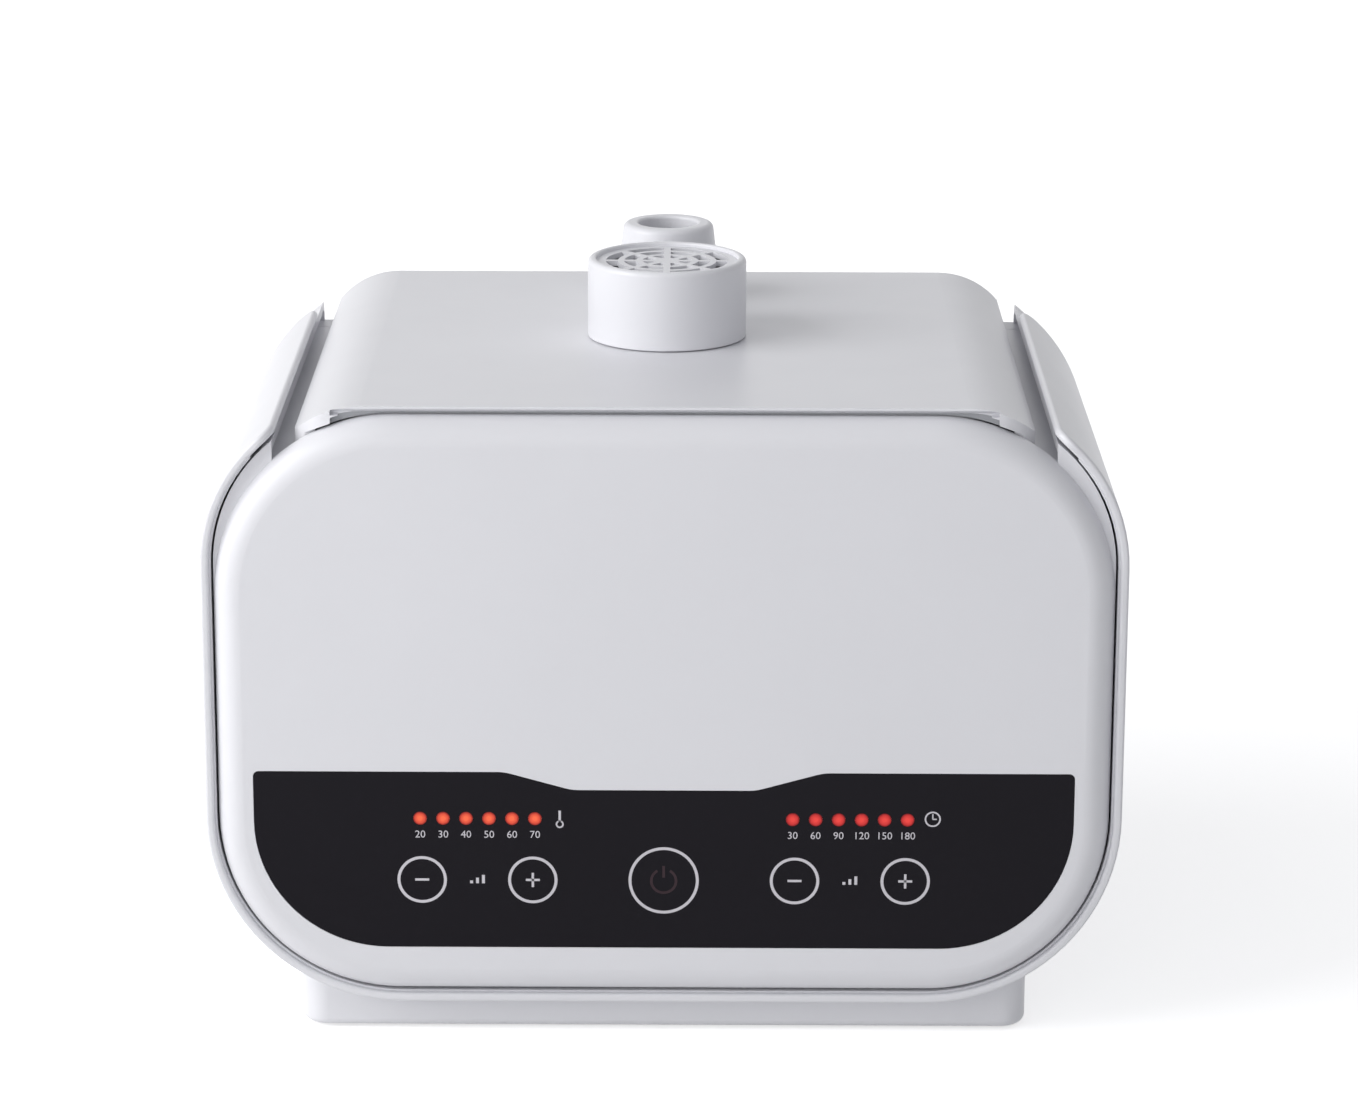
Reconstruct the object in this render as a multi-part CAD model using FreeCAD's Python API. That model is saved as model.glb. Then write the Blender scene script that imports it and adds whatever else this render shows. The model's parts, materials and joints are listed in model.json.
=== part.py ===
import FreeCAD, Part
import math
import os

Vec = FreeCAD.Vector
X_AXIS = Vec(1, 0, 0)
Y_AXIS = Vec(0, 1, 0)
Z_AXIS = Vec(0, 0, 1)

# A free-standing dryer for filament spools. Millimetres, +Z up, the front faces -Y.
# The origin is on the table, under the middle of the whole box, lid closed.

# Outer form
band_width = 340.0
band_depth = 205.0
band_wall = 3.2
band_gap = 1.5
band_bottom = 15.2
band_set_back = 4.5
band_end_angle = 54.0
band_end_round = 8.0
band_edge_round = 1.2
band_pad_radius = 5.0
band_pad_run = 20.0
band_return_set_back = 2.5
band_return_gap = 0.8
band_return_angle = 42.0
body_height = 224.5
body_depth = 250.0
corner_radius = 60.0
base_corner_radius = 68.0
sleeve_wall = 3.0
cover_wall = 2.6
panel_depth = 10.5
panel_edge_round = 10.0
panel_corner = 67.0
panel_rim = 2.0
rear_cover_depth = 14.0
rear_edge_round = 8.0
rear_lip_length = 5.0
rear_lip_wall = 1.8
seam_gap = 0.5
panel_lug_depth = 5.0
rear_boss_length = 22.0
rear_boss_low_run = 10.0
rear_boss_high_run = 15.0
panel_boss_low_run = 30.0
ledge_thick = 3.0
channel_width = 7.5

# Plinth and feet
plinth_width = 274.0
plinth_depth = 182.0
plinth_set_back = 15.0
plinth_corner = 10.0
plinth_wall = 3.0
plinth_edge_round = 3.0
plinth_rib_wall = 2.0
plinth_horn = 15.0
foot_radius = 8.0
foot_height = 2.7
foot_taper = 0.5
foot_stand_out = 1.2
foot_inset = 16.0

# Control window and what is behind it
window_side = 13.7
window_rise = 19.0
window_height = 68.5
window_dip = 6.9
window_dip_inner = 34.0
window_dip_outer = 59.0
window_dip_round = 18.0
window_corner = 49.0
window_top_round = 2.0
window_thick = 2.0
window_fit = 0.15
window_floor = 2.2
window_border = 3.0
lamp_rise = 69.5
lamp_first_x = 47.7
lamp_pitch = 8.5
lamps_in_row = 6
lamp_radius = 2.5
lamp_fit = 0.1
led_radius = 2.2
key_rise = 45.5
key_inner_x = 48.6
key_outer_x = 89.7
pad_radius = 6.0
pad_fit = 0.5
touch_board_width = 208.0
touch_board_rise = 32.5
touch_board_height = 44.0
touch_board_gap = 2.3
board_thick = 1.6
board_post_radius = 3.0
board_hole_inset = 5.0
board_corner = 3.0
touch_chip_size = 10.0
touch_chip_height = 1.5
touch_socket_width = 12.0
touch_socket_depth = 4.4
touch_socket_height = 8.0

# Lid, its hinge and its gasket
lid_side = 29.8
lid_set_back = 7.0
lid_wall = 2.4
lid_gap = 1.0
lid_corner = 15.0
lid_crown_radius = 32.0
lid_crown_over = 7.5
lid_edge_round = 0.6
lid_lip_edge = 0.9
lid_lip_slant = 3.0
lid_lip_side = 14.0
lid_skirt = 21.4
lid_rib_wall = 1.6
lid_rib_height = 2.2
hinge_drop = 2.0
hinge_stand_off = 5.0
hinge_barrel_radius = 4.5
hinge_pin_radius = 1.5
hinge_pin_fit = 0.05
hinge_spacing = 160.0
hinge_lid_knuckle = 20.0
hinge_body_knuckle = 10.0
hinge_knuckle_gap = 0.3
hinge_web = 10.0
gasket_width = 3.0
carrier_fit = 0.1
gasket_height = 2.5
gasket_clear = 0.3

# Vent on the lid
vent_cap_radius = 30.6
vent_cap_height = 31.0
vent_cap_lift = 0.4
vent_cap_round = 2.0
vent_foot_round = 0.5
vent_lip_round = 0.8
vent_rim_wall = 3.3
vent_grille_thick = 2.0
vent_grille_recess = 1.5
vent_spokes = 8
vent_spoke_width = 2.6
vent_slot_width = 4.6
vent_ring_width = 2.4
vent_slot_rings = 3
vent_hub_radius = 5.0
vent_boss_wall = 2.4
vent_collar_flange = 3.0
vent_collar_thick = 1.6
vent_collar_fit = 0.1
vent_turn_fit = 0.3
vent_turn_angle = 45.0
vent_lugs = 3
vent_lug_sweep = 14.0
vent_lug_reach = 0.9
vent_lug_height = 1.6
vent_lug_lift = 4.0
vent_lug_fit = 0.4
vent_lug_fit_angle = 1.0
filter_thick = 8.0
filter_fit = 0.3
filter_arms = 4
filter_arm_width = 3.0
filter_arm_thick = 2.0
filter_hub_radius = 5.0

# Conical filament port
port_set_back = 68.0
port_height = 31.0
port_top_radius = 17.8
port_base_radius = 21.6
port_bore_radius = 11.85
port_rim_round = 2.6
port_mouth_round = 1.2
port_foot_round = 0.8
port_spigot_round = 0.6
port_spigot_radius = 15.0
port_spigot_length = 6.5
port_fit = 0.1
port_seal_thick = 1.2
port_nut_height = 4.6
port_nut_radius = 20.0
port_nut_notches = 6
port_nut_notch_radius = 2.5

# Drying chamber
side_bay = 51.3
chamber_rise = 10.5
tub_wall = 2.0
tub_corner = 12.0
tub_floor_round = 6.0
tub_front_clear = 3.0
tub_rear_clear = 8.9
flange_thick = 2.2
flange_front_clear = 0.8
flange_corner = 8.0
grille_slot = 3.0
grille_pitch = 6.0
grille_height = 60.0
grille_slots = 11
return_slots = 6
return_set_back = 84.0

# Rollers that carry the spools
roller_spread = 62.0
roller_radius = 10.0
roller_lift = 3.0
roller_width = 10.0
tyre_thick = 2.5
tyre_edge_round = 0.8
wheel_fit = 0.02
wheel_hub_wall = 2.0
wheel_hub_reach = 2.0
axle_radius = 3.0
axle_fit = 0.03
axle_end_gap = 0.4
wheel_end_gap = 16.2
spool_flange_gap = 56.0
bearing_radius = 6.5
bearing_width = 5.0
bearing_fit = 0.05
cradle_thick = 7.5
cradle_clear = 0.3
cradle_end_wall = 1.2
cradle_ear_radius = 10.0
cradle_foot_width = 14.0
cradle_foot_thick = 3.0
cradle_reach = 76.0
cradle_screw_reach = 30.0

# Fan, heater and duct, on the chamber's left wall
air_rise = 100.5
fan_hole_edge = 4.25
fan_thick = 20.0
fan_bore_radius = 38.2
fan_tip_clear = 1.2
fan_corner = 4.0
fan_hole_pitch = 71.5
fan_hub_radius = 16.0
fan_blades = 7
fan_blade_thick = 1.4
fan_root_chord = 13.6
fan_mid_chord = 17.0
fan_tip_chord = 18.7
fan_root_pitch = 48.0
fan_tip_pitch = 28.0
fan_struts = 4
fan_strut_width = 4.0
fan_strut_thick = 2.5
fan_shaft_radius = 1.5
fan_shaft_fit = 0.05
fan_bush_radius = 4.0
fan_bush_length = 12.0
fan_cup_wall = 2.0
fan_motor_radius = 12.5
fan_motor_length = 7.0
fan_motor_fit = 0.05
fan_motor_poles = 4
fan_motor_slot = 2.0
fan_motor_core = 3.0
fan_running_gap = 0.8
duct_depth = 19.0
duct_wall = 1.6
duct_fit = 0.2
heater_depth = 12.0
heater_set_off = 3.0
heater_bar_height = 6.0
heater_bars_count = 4
heater_fin_thick = 0.6
heater_fin_pitch = 5.0
heater_end_wall = 4.0
cutout_radius = 5.0
cutout_height = 4.0
cutout_button = 1.5

# Power board, inlet, sensor and wiring
power_board_width = 120.0
power_board_height = 80.0
power_post_length = 6.0
power_post_radius = 4.0
transformer_width = 32.0
transformer_height = 28.0
transformer_depth = 26.0
capacitor_radius = 6.0
capacitor_length = 20.0
relay_width = 19.0
relay_height = 15.0
relay_depth = 15.0
socket_width = 14.0
socket_height = 7.0
socket_depth = 9.0
inlet_side = 25.3
inlet_rise = 57.5
inlet_flange_width = 30.0
inlet_flange_height = 18.0
inlet_flange_thick = 2.0
inlet_flange_corner = 2.0
inlet_body_width = 24.0
inlet_body_height = 14.0
inlet_body_depth = 18.0
inlet_recess_width = 16.0
inlet_recess_height = 9.0
inlet_recess_depth = 13.0
inlet_fit = 0.25
inlet_pin_radius = 1.2
inlet_pin_pitch = 8.5
inlet_pin_length = 9.5
inlet_tail = 4.0
inlet_pin_fit = 0.03
sensor_width = 24.0
sensor_height = 16.0
sensor_depth = 4.0
sensor_rise = 172.5
sensor_corner = 3.0
sensor_louvre = 2.0
sensor_louvres = 3
cable_radius = 1.8
cable_bend = 6.0
air_slot_height = 3.0
air_slot_width = 24.0
air_slot_pitch = 7.0
air_slots = 12

# Screws
screw_radius = 1.5
screw_fit = 0.05
screw_clear = 0.2
screw_head_radius = 2.9
screw_head_height = 2.2
base_screw_radius = 1.9
base_screw_head_radius = 3.8
base_screw_head_height = 2.4
base_screw_x = 92.0
base_screw_front_run = 81.0
base_screw_rear_run = 46.0
boss_wall = 2.5
small_screw_radius = 0.95
small_screw_head_radius = 1.9
small_screw_head_height = 1.4

# How far joined pieces run into each other, how far a cut runs past a face, and when points are one
join = 0.5
over = 1.0
same = 1e-6
close = 0.02

# Places worked out from the sizes above
body_half = band_width / 2 - band_wall - band_gap
body_bottom = band_bottom + band_wall + band_gap
body_top = body_bottom + body_height
arc_x = body_half - corner_radius
arc_top_z = body_top - corner_radius

overall_depth = body_depth + hinge_stand_off + hinge_barrel_radius
front = -overall_depth / 2
rear = front + body_depth
panel_back = front + panel_depth
sleeve_front = panel_back + seam_gap
sleeve_back = rear - rear_cover_depth
band_front = front + band_set_back
band_back = band_front + band_depth
plinth_front = front + plinth_set_back
plinth_back = plinth_front + plinth_depth

window_half = body_half - window_side
window_bottom = body_bottom + window_rise
window_top = window_bottom + window_height
lamp_row_z = body_bottom + lamp_rise
key_row_z = body_bottom + key_rise
touch_board_low = body_bottom + touch_board_rise
touch_board_high = touch_board_low + touch_board_height
window_back = front + window_thick
window_seat_back = window_back + window_floor
touch_board_front = window_seat_back + touch_board_gap
touch_board_back = touch_board_front + board_thick

lid_half = body_half - lid_side
lid_front = front + lid_set_back
lid_low = body_top - lid_skirt
lid_under = body_top - lid_wall
crown_half = lid_half + lid_crown_over
panel_top = lid_under - lid_gap
hinge_y = rear + hinge_stand_off
hinge_z = lid_low - hinge_drop
ledge_z = lid_low - lid_gap
ledge_low = ledge_z - ledge_thick
channel_half = lid_half + channel_width
flange_half = lid_half - lid_wall - lid_gap
flange_front = panel_back + flange_front_clear
flange_top = ledge_z + flange_thick
gasket_low = flange_top + gasket_clear
gasket_high = gasket_low + gasket_height
gasket_front = flange_front + gasket_clear

tub_front = touch_board_back + touch_socket_depth + tub_front_clear - tub_wall
tub_back = rear - cover_wall - tub_rear_clear
chamber_half = body_half - side_bay
chamber_floor = body_bottom + chamber_rise
tub_half = chamber_half + tub_wall
tub_under = chamber_floor - tub_wall
chamber_front = tub_front + tub_wall
chamber_back = tub_back - tub_wall
chamber_mid = (chamber_front + chamber_back) / 2
flange_back = tub_back + gasket_width
sleeve_inner = body_half - sleeve_wall

vent_y = (front + rear) / 2
cap_top = body_top + vent_cap_height
vent_boss_top = cap_top - vent_grille_recess - vent_grille_thick - vent_cap_lift
filter_low = vent_boss_top - filter_thick
vent_boss_radius = vent_cap_radius - vent_rim_wall - vent_turn_fit
vent_boss_bore = vent_boss_radius - vent_boss_wall
port_y = vent_y + port_set_back

roller_z = chamber_floor + roller_lift + roller_radius
roller_ys = (chamber_mid - roller_spread, chamber_mid + roller_spread)
cradle_outer = chamber_half - tub_floor_round - cradle_clear
cradle_inner = cradle_outer - cradle_thick
outer_wheel_x = cradle_inner - wheel_end_gap
wheel_xs = [side * x for side in (-1, 1) for x in (outer_wheel_x - spool_flange_gap, outer_wheel_x)]

duct_back = -tub_half
duct_front = duct_back - duct_depth
fan_back = duct_front
fan_front = fan_back - fan_thick
fan_size = fan_hole_pitch + 2 * fan_hole_edge
fan_mid_y = chamber_mid
air_centre_z = body_bottom + air_rise
inlet_x = body_half - inlet_side
inlet_z = body_bottom + inlet_rise
sensor_z = body_bottom + sensor_rise

power_board_x = tub_half + power_post_length
power_face_x = power_board_x + board_thick
base_screw_ys = (chamber_mid - base_screw_front_run, chamber_mid + base_screw_rear_run)
base_screw_points = [(side * base_screw_x, y) for side in (-1, 1) for y in base_screw_ys]
base_shoulder_z = band_bottom - plinth_wall - base_screw_head_height / 2
rear_boss_x = sleeve_inner - screw_radius - boss_wall + join
side_low_z = body_bottom + base_corner_radius
rear_boss_zs = (side_low_z + rear_boss_low_run, arc_top_z - rear_boss_high_run)
panel_boss_x = sleeve_inner - screw_head_radius - screw_clear
panel_boss_zs = (side_low_z + panel_boss_low_run, panel_top - panel_corner)
panel_boss_front = front + panel_edge_round / 2


# Outlines and plain solids

def box(x0, x1, y0, y1, z0, z1):
    return Part.makeBox(x1 - x0, y1 - y0, z1 - z0, Vec(x0, y0, z0))


def rod(radius, start, end):
    """Cylinder between two points."""
    return Part.makeCylinder(radius, (end - start).Length, start, end - start)


def ring(outer, inner, start, end):
    return rod(outer, start, end).cut(rod(inner, start, end))


def rect(u0, u1, v0, v1, radius=0.0):
    """Corners of a rectangle, each with its corner radius."""
    return [(u0, v0, radius), (u1, v0, radius), (u1, v1, radius), (u0, v1, radius)]


def outline(corners, place):
    """Closed wire through (u, v, radius) corners with tangent arcs; place puts a flat point in space."""
    spans = []
    for i, (u, v, radius) in enumerate(corners):
        corner = Vec(u, v, 0)
        before = Vec(*corners[i - 1][:2], 0) - corner
        after = Vec(*corners[(i + 1) % len(corners)][:2], 0) - corner
        before.normalize()
        after.normalize()
        if radius == 0:
            spans.append((corner, None, corner))
            continue
        half = before.getAngle(after) / 2
        middle = before + after
        middle.normalize()
        reach = radius / math.tan(half)
        arc_middle = corner + middle * (radius / math.sin(half) - radius)
        spans.append((corner + before * reach, arc_middle, corner + after * reach))
    edges = []
    for i, (start, arc_middle, end) in enumerate(spans):
        if arc_middle is not None:
            edges.append(Part.Arc(place(start), place(arc_middle), place(end)).toShape())
        following = spans[(i + 1) % len(spans)][0]
        if (following - end).Length > same:
            edges.append(Part.LineSegment(place(end), place(following)).toShape())
    return Part.Wire(edges)


def prism_xz(corners, y0, y1):
    wire = outline(corners, lambda p: Vec(p.x, y0, p.y))
    return Part.Face(wire).extrude(Vec(0, y1 - y0, 0))


def prism_xy(corners, z0, z1):
    wire = outline(corners, lambda p: Vec(p.x, p.y, z0))
    return Part.Face(wire).extrude(Vec(0, 0, z1 - z0))


def prism_yz(corners, x0, x1):
    wire = outline(corners, lambda p: Vec(x0, p.x, p.y))
    return Part.Face(wire).extrude(Vec(x1 - x0, 0, 0))


def turned(corners, centre):
    """Solid of revolution about a vertical axis, from (radius, z, corner radius) points."""
    wire = outline(corners, lambda p: Vec(centre.x + p.x, centre.y, p.y))
    return Part.Face(wire).revolve(centre, Z_AXIS, 360)


def fused(shapes):
    """One solid, or one group of solids that stay apart."""
    first, *others = shapes
    return first.fuse(others).removeSplitter() if others else first


def group(shapes):
    return Part.makeCompound(shapes)


def edges_where(shape, test):
    return [e for e in shape.Edges if test(e.valueAt((e.FirstParameter + e.LastParameter) / 2), e)]


def sides(shape):
    """The shape and its mirror image across the middle of the box."""
    return [shape, shape.mirror(Vec(0, 0, 0), X_AXIS)]


# The body's rounded form

def body_prism(inset, y0, y1):
    half = body_half - inset
    corners = rect(-half, half, body_bottom + inset, body_top - inset, corner_radius - inset)
    corners[0] = (-half, body_bottom + inset, base_corner_radius - inset)
    corners[1] = (half, body_bottom + inset, base_corner_radius - inset)
    return prism_xz(corners, y0, y1)


def body_form(inset, y0):
    """The body's outer form drawn in by inset, open to the front, with its rounded rear edge."""
    back = rear - inset
    prism = body_prism(inset, y0, back)
    radius = rear_edge_round - inset
    if radius < join:
        return prism
    rim = edges_where(prism, lambda p, e: abs(p.y - back) < same)
    return prism.makeFillet(radius, rim)


def panel_form(inset, radius, y0, y1):
    """The front panel's form, with its rounded front edge."""
    half = body_half - inset
    corners = rect(-half, half, body_bottom + inset, panel_top - inset, panel_corner - inset)
    prism = prism_xz(corners, y0, y1)
    rim = edges_where(prism, lambda p, e: abs(p.y - y0) < same)
    return prism.makeFillet(radius, rim)


def crown_form(inset, y0):
    """The lid's arched form drawn in by inset, with its rounded rear edge."""
    half = crown_half - inset
    back = rear - inset
    high = body_top - inset
    crown = lid_crown_radius - inset
    corners = [(-half, arc_top_z, 0), (half, arc_top_z, 0), (half, high, crown), (-half, high, crown)]
    prism = prism_xz(corners, y0, back)
    rim = edges_where(prism, lambda p, e: abs(p.y - back) < same)
    return prism.makeFillet(rear_edge_round - inset, rim)


def lid_zone(inset):
    """Upright prism over the lid's plan, drawn in at its sides and front."""
    half = lid_half - inset
    start = lid_front + inset
    corners = rect(-half, half, start, rear + over)
    corners[0] = (-half, start, lid_corner - inset)
    corners[1] = (half, start, lid_corner - inset)
    return prism_xy(corners, lid_low, body_top + over)


def channel_zone(y0, y1):
    """Everything above the ledge between the body's two shoulders."""
    return box(-channel_half, channel_half, y0, y1, ledge_z, body_top + over)


# Body sleeve, covers and band

def body_sleeve():
    sleeve = body_prism(0, sleeve_front, sleeve_back)
    sleeve = sleeve.cut(body_prism(sleeve_wall, sleeve_front - over, sleeve_back + over))
    sleeve = sleeve.cut(channel_zone(sleeve_front - over, sleeve_back + over))
    boss_radius = screw_radius + boss_wall
    extras = sides(shoulder_ledge())
    for x, y in base_screw_points:
        start = Vec(x, y, body_bottom + sleeve_wall - join)
        extras.append(rod(base_screw_radius + boss_wall, start, Vec(x, y, tub_under)))
    for x, z in mirrored(rear_boss_x, rear_boss_zs):
        start = Vec(x, sleeve_back - rear_boss_length, z)
        extras.append(rod(boss_radius, start, Vec(x, sleeve_back, z)))
    for z in panel_boss_zs:
        low_x = panel_boss_x - boss_radius
        lug_back = sleeve_front + panel_lug_depth
        lug = box(low_x, sleeve_inner + join, sleeve_front, lug_back, z - boss_radius, z + boss_radius)
        extras += sides(lug)
    sleeve = fused([sleeve] + extras)
    holes = []
    for x, y in base_screw_points:
        start = Vec(x, y, body_bottom - over)
        holes.append(rod(base_screw_radius + screw_fit, start, Vec(x, y, tub_under - over)))
    for x, z in mirrored(rear_boss_x, rear_boss_zs):
        start = Vec(x, sleeve_back - rear_boss_length + boss_wall, z)
        holes.append(rod(screw_radius + screw_fit, start, Vec(x, sleeve_back + over, z)))
    for x, z in mirrored(panel_boss_x, panel_boss_zs):
        start = Vec(x, sleeve_front - over, z)
        end = Vec(x, sleeve_front + panel_lug_depth + over, z)
        holes.append(rod(screw_radius + screw_clear, start, end))
    return sleeve.cut(holes)


def shoulder_ledge():
    """Floor of the channel beside the lid on the right, which the chamber's flange is seated on."""
    inside = body_prism(sleeve_wall - join, sleeve_front, sleeve_back)
    inner = tub_half + screw_clear
    return inside.common(box(inner, body_half, sleeve_front, sleeve_back, ledge_low, ledge_z))


def mirrored(x, zs):
    return [(side * x, z) for side in (-1, 1) for z in zs]


def window_corners(grow):
    half = window_half + grow
    low = window_bottom - grow
    high = window_top + grow
    dip = high - window_dip
    top = window_top_round + grow
    round_out = window_dip_round + grow
    round_in = window_dip_round - grow
    foot = window_corner + grow
    return [
        (-half, low, foot),
        (half, low, foot),
        (half, high, top),
        (window_dip_outer, high, round_out),
        (window_dip_inner, dip, round_in),
        (-window_dip_inner, dip, round_in),
        (-window_dip_outer, high, round_out),
        (-half, high, top),
    ]


def lamp_points():
    xs = [lamp_first_x + i * lamp_pitch for i in range(lamps_in_row)]
    return [(side * x, lamp_row_z) for side in (-1, 1) for x in xs]


def key_points():
    xs = (-key_outer_x, -key_inner_x, 0.0, key_inner_x, key_outer_x)
    return [(x, key_row_z) for x in xs]


def touch_post_points():
    x = touch_board_width / 2 - board_hole_inset
    zs = (touch_board_low + board_hole_inset, touch_board_high - board_hole_inset)
    return mirrored(x, zs)


def front_panel():
    rim_front = panel_back - panel_rim
    rim = body_prism(0, rim_front, panel_back).cut(channel_zone(rim_front - over, panel_back + over))
    panel = fused([panel_form(0, panel_edge_round, front, panel_back), rim])
    inner_round = panel_edge_round - cover_wall
    panel = panel.cut(panel_form(cover_wall, inner_round, front + cover_wall, panel_back + over))
    extras = [prism_xz(window_corners(window_border), front + cover_wall / 2, window_seat_back)]
    for x, z in touch_post_points():
        extras.append(rod(board_post_radius, Vec(x, window_back + join, z), Vec(x, touch_board_front, z)))
    for x, z in mirrored(panel_boss_x, panel_boss_zs):
        start = Vec(x, panel_boss_front, z)
        extras.append(rod(screw_radius + boss_wall, start, Vec(x, sleeve_front, z)))
    panel = fused([panel] + extras)
    holes = [prism_xz(window_corners(window_fit), front - over, window_back)]
    for x, z in lamp_points():
        holes.append(rod(lamp_radius + 2 * lamp_fit, Vec(x, front, z), Vec(x, window_seat_back + over, z)))
    for x, z in key_points():
        holes.append(rod(pad_radius + pad_fit, Vec(x, front, z), Vec(x, window_seat_back + over, z)))
    for x, z in touch_post_points():
        start = Vec(x, window_back + over, z)
        holes.append(rod(small_screw_radius + screw_fit, start, Vec(x, touch_board_front + over, z)))
    for x, z in mirrored(panel_boss_x, panel_boss_zs):
        start = Vec(x, panel_boss_front + over, z)
        holes.append(rod(screw_radius + screw_fit, start, Vec(x, sleeve_front + over, z)))
    return panel.cut(holes)


def hinge_knuckle_spans(lid_side):
    """Start and end of each knuckle along the hinge, for both hinges."""
    spans = []
    for middle in (-hinge_spacing / 2, hinge_spacing / 2):
        half = hinge_lid_knuckle / 2
        if lid_side:
            spans.append((middle - half, middle + half))
            continue
        start = half + hinge_knuckle_gap
        end = start + hinge_body_knuckle
        spans += [(middle - end, middle - start), (middle + start, middle + end)]
    return spans


def hinge_knuckle(x0, x1, near_z, far_z):
    """Barrel with the gusset that joins it to the wall beside it, from near_z to far_z up the wall."""
    barrel = rod(hinge_barrel_radius, Vec(x0, hinge_y, hinge_z), Vec(x1, hinge_y, hinge_z))
    wall_y = rear - cover_wall / 2
    toe_z = near_z + (far_z - near_z) / 3
    gusset = [(wall_y, near_z, 0), (hinge_y, near_z, 0), (hinge_y, toe_z, 0), (rear + join, far_z, 0)]
    return barrel.fuse(prism_yz(gusset + [(wall_y, far_z, 0)], x0, x1))


def hinge_bores(lid_side):
    radius = hinge_pin_radius + hinge_pin_fit
    bores = []
    for x0, x1 in hinge_knuckle_spans(lid_side):
        bores.append(rod(radius, Vec(x0 - over, hinge_y, hinge_z), Vec(x1 + over, hinge_y, hinge_z)))
    return bores


def hinge_pins():
    pins = []
    half = hinge_lid_knuckle / 2 + hinge_knuckle_gap + hinge_body_knuckle
    for middle in (-hinge_spacing / 2, hinge_spacing / 2):
        start = Vec(middle - half, hinge_y, hinge_z)
        pins.append(rod(hinge_pin_radius, start, start + X_AXIS * (2 * half)))
    return group(pins)


def rear_cover():
    cover = body_form(0, sleeve_back + seam_gap).cut(body_form(cover_wall, sleeve_back - over))
    lip_inset = sleeve_wall + screw_clear
    lip_front = sleeve_back - rear_lip_length
    lip_back = sleeve_back + rear_lip_length
    lip = body_prism(lip_inset, lip_front, lip_back)
    lip = lip.cut(body_prism(lip_inset + rear_lip_wall, lip_front - over, lip_back + over))
    lip = lip.cut(box(-body_half, body_half, lip_front, lip_back, ledge_low - screw_clear, body_top))
    posts = []
    holes = []
    boss_radius = screw_radius + boss_wall
    for x, z in mirrored(rear_boss_x, rear_boss_zs):
        lip = lip.cut(rod(boss_radius + screw_clear, Vec(x, lip_front - over, z), Vec(x, sleeve_back, z)))
        posts.append(rod(boss_radius, Vec(x, sleeve_back, z), Vec(x, rear - cover_wall / 2, z)))
        holes.append(rod(screw_radius + screw_clear, Vec(x, sleeve_back - over, z), Vec(x, rear + over, z)))
        seat = Vec(x, rear - screw_head_height, z)
        holes.append(rod(screw_head_radius + screw_clear, seat, Vec(x, rear + over, z)))
    cover = fused([cover, lip] + posts).cut(channel_zone(lip_front - over, rear + over))
    shelf = body_form(cover_wall - join, sleeve_back + seam_gap)
    shelf = shelf.common(box(-body_half, body_half, sleeve_back, rear, ledge_low, ledge_z))
    tub_x = tub_half + screw_clear
    shelf = shelf.cut(box(-tub_x, tub_x, sleeve_back, tub_back + screw_clear, ledge_low, ledge_z))
    cover = fused([cover, shelf])
    knuckles = []
    for x0, x1 in hinge_knuckle_spans(False):
        knuckles.append(hinge_knuckle(x0, x1, hinge_z, hinge_z - hinge_web))
    cover = fused([cover] + knuckles)
    holes += hinge_bores(False)
    inlet_size = (inlet_body_width + 2 * inlet_fit, inlet_body_height + 2 * inlet_fit)
    holes.append(inlet_prism(*inlet_size, 0, rear - rear_cover_depth, rear + over))
    slot_x = -(tub_half + sleeve_inner) / 2
    half_width = air_slot_width / 2
    for i in range(air_slots):
        z = air_centre_z + (i - (air_slots - 1) / 2) * air_slot_pitch
        slot_z = (z - air_slot_height / 2, z + air_slot_height / 2)
        slot_y = (rear - cover_wall - over, rear + over)
        holes.append(box(slot_x - half_width, slot_x + half_width, *slot_y, *slot_z))
    return cover.cut(holes)


def inlet_prism(width, height, radius, y0, y1):
    """Block on the power inlet's axis, used for its body, its recess and its cut-out."""
    half_x = width / 2
    half_z = height / 2
    corners = rect(inlet_x - half_x, inlet_x + half_x, inlet_z - half_z, inlet_z + half_z, radius)
    return prism_xz(corners, y0, y1)


def band_solid(outer_grow, inner_grow, y0, y1, end_angle):
    """Strip between two offsets of the body's outline, without the part above its two ends."""
    strip = body_prism(-outer_grow, y0, y1)
    strip = strip.cut(body_prism(-inner_grow, y0 - over, y1 + over))
    far = 2 * corner_radius
    angle = math.radians(end_angle)
    end_x = arc_x + far * math.cos(angle)
    end_z = arc_top_z + far * math.sin(angle)
    above = [(-arc_x, arc_top_z, 0), (arc_x, arc_top_z, 0), (end_x, end_z, 0), (-end_x, end_z, 0)]
    return strip.cut(prism_xz(above, y0 - over, y1 + over))


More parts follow.
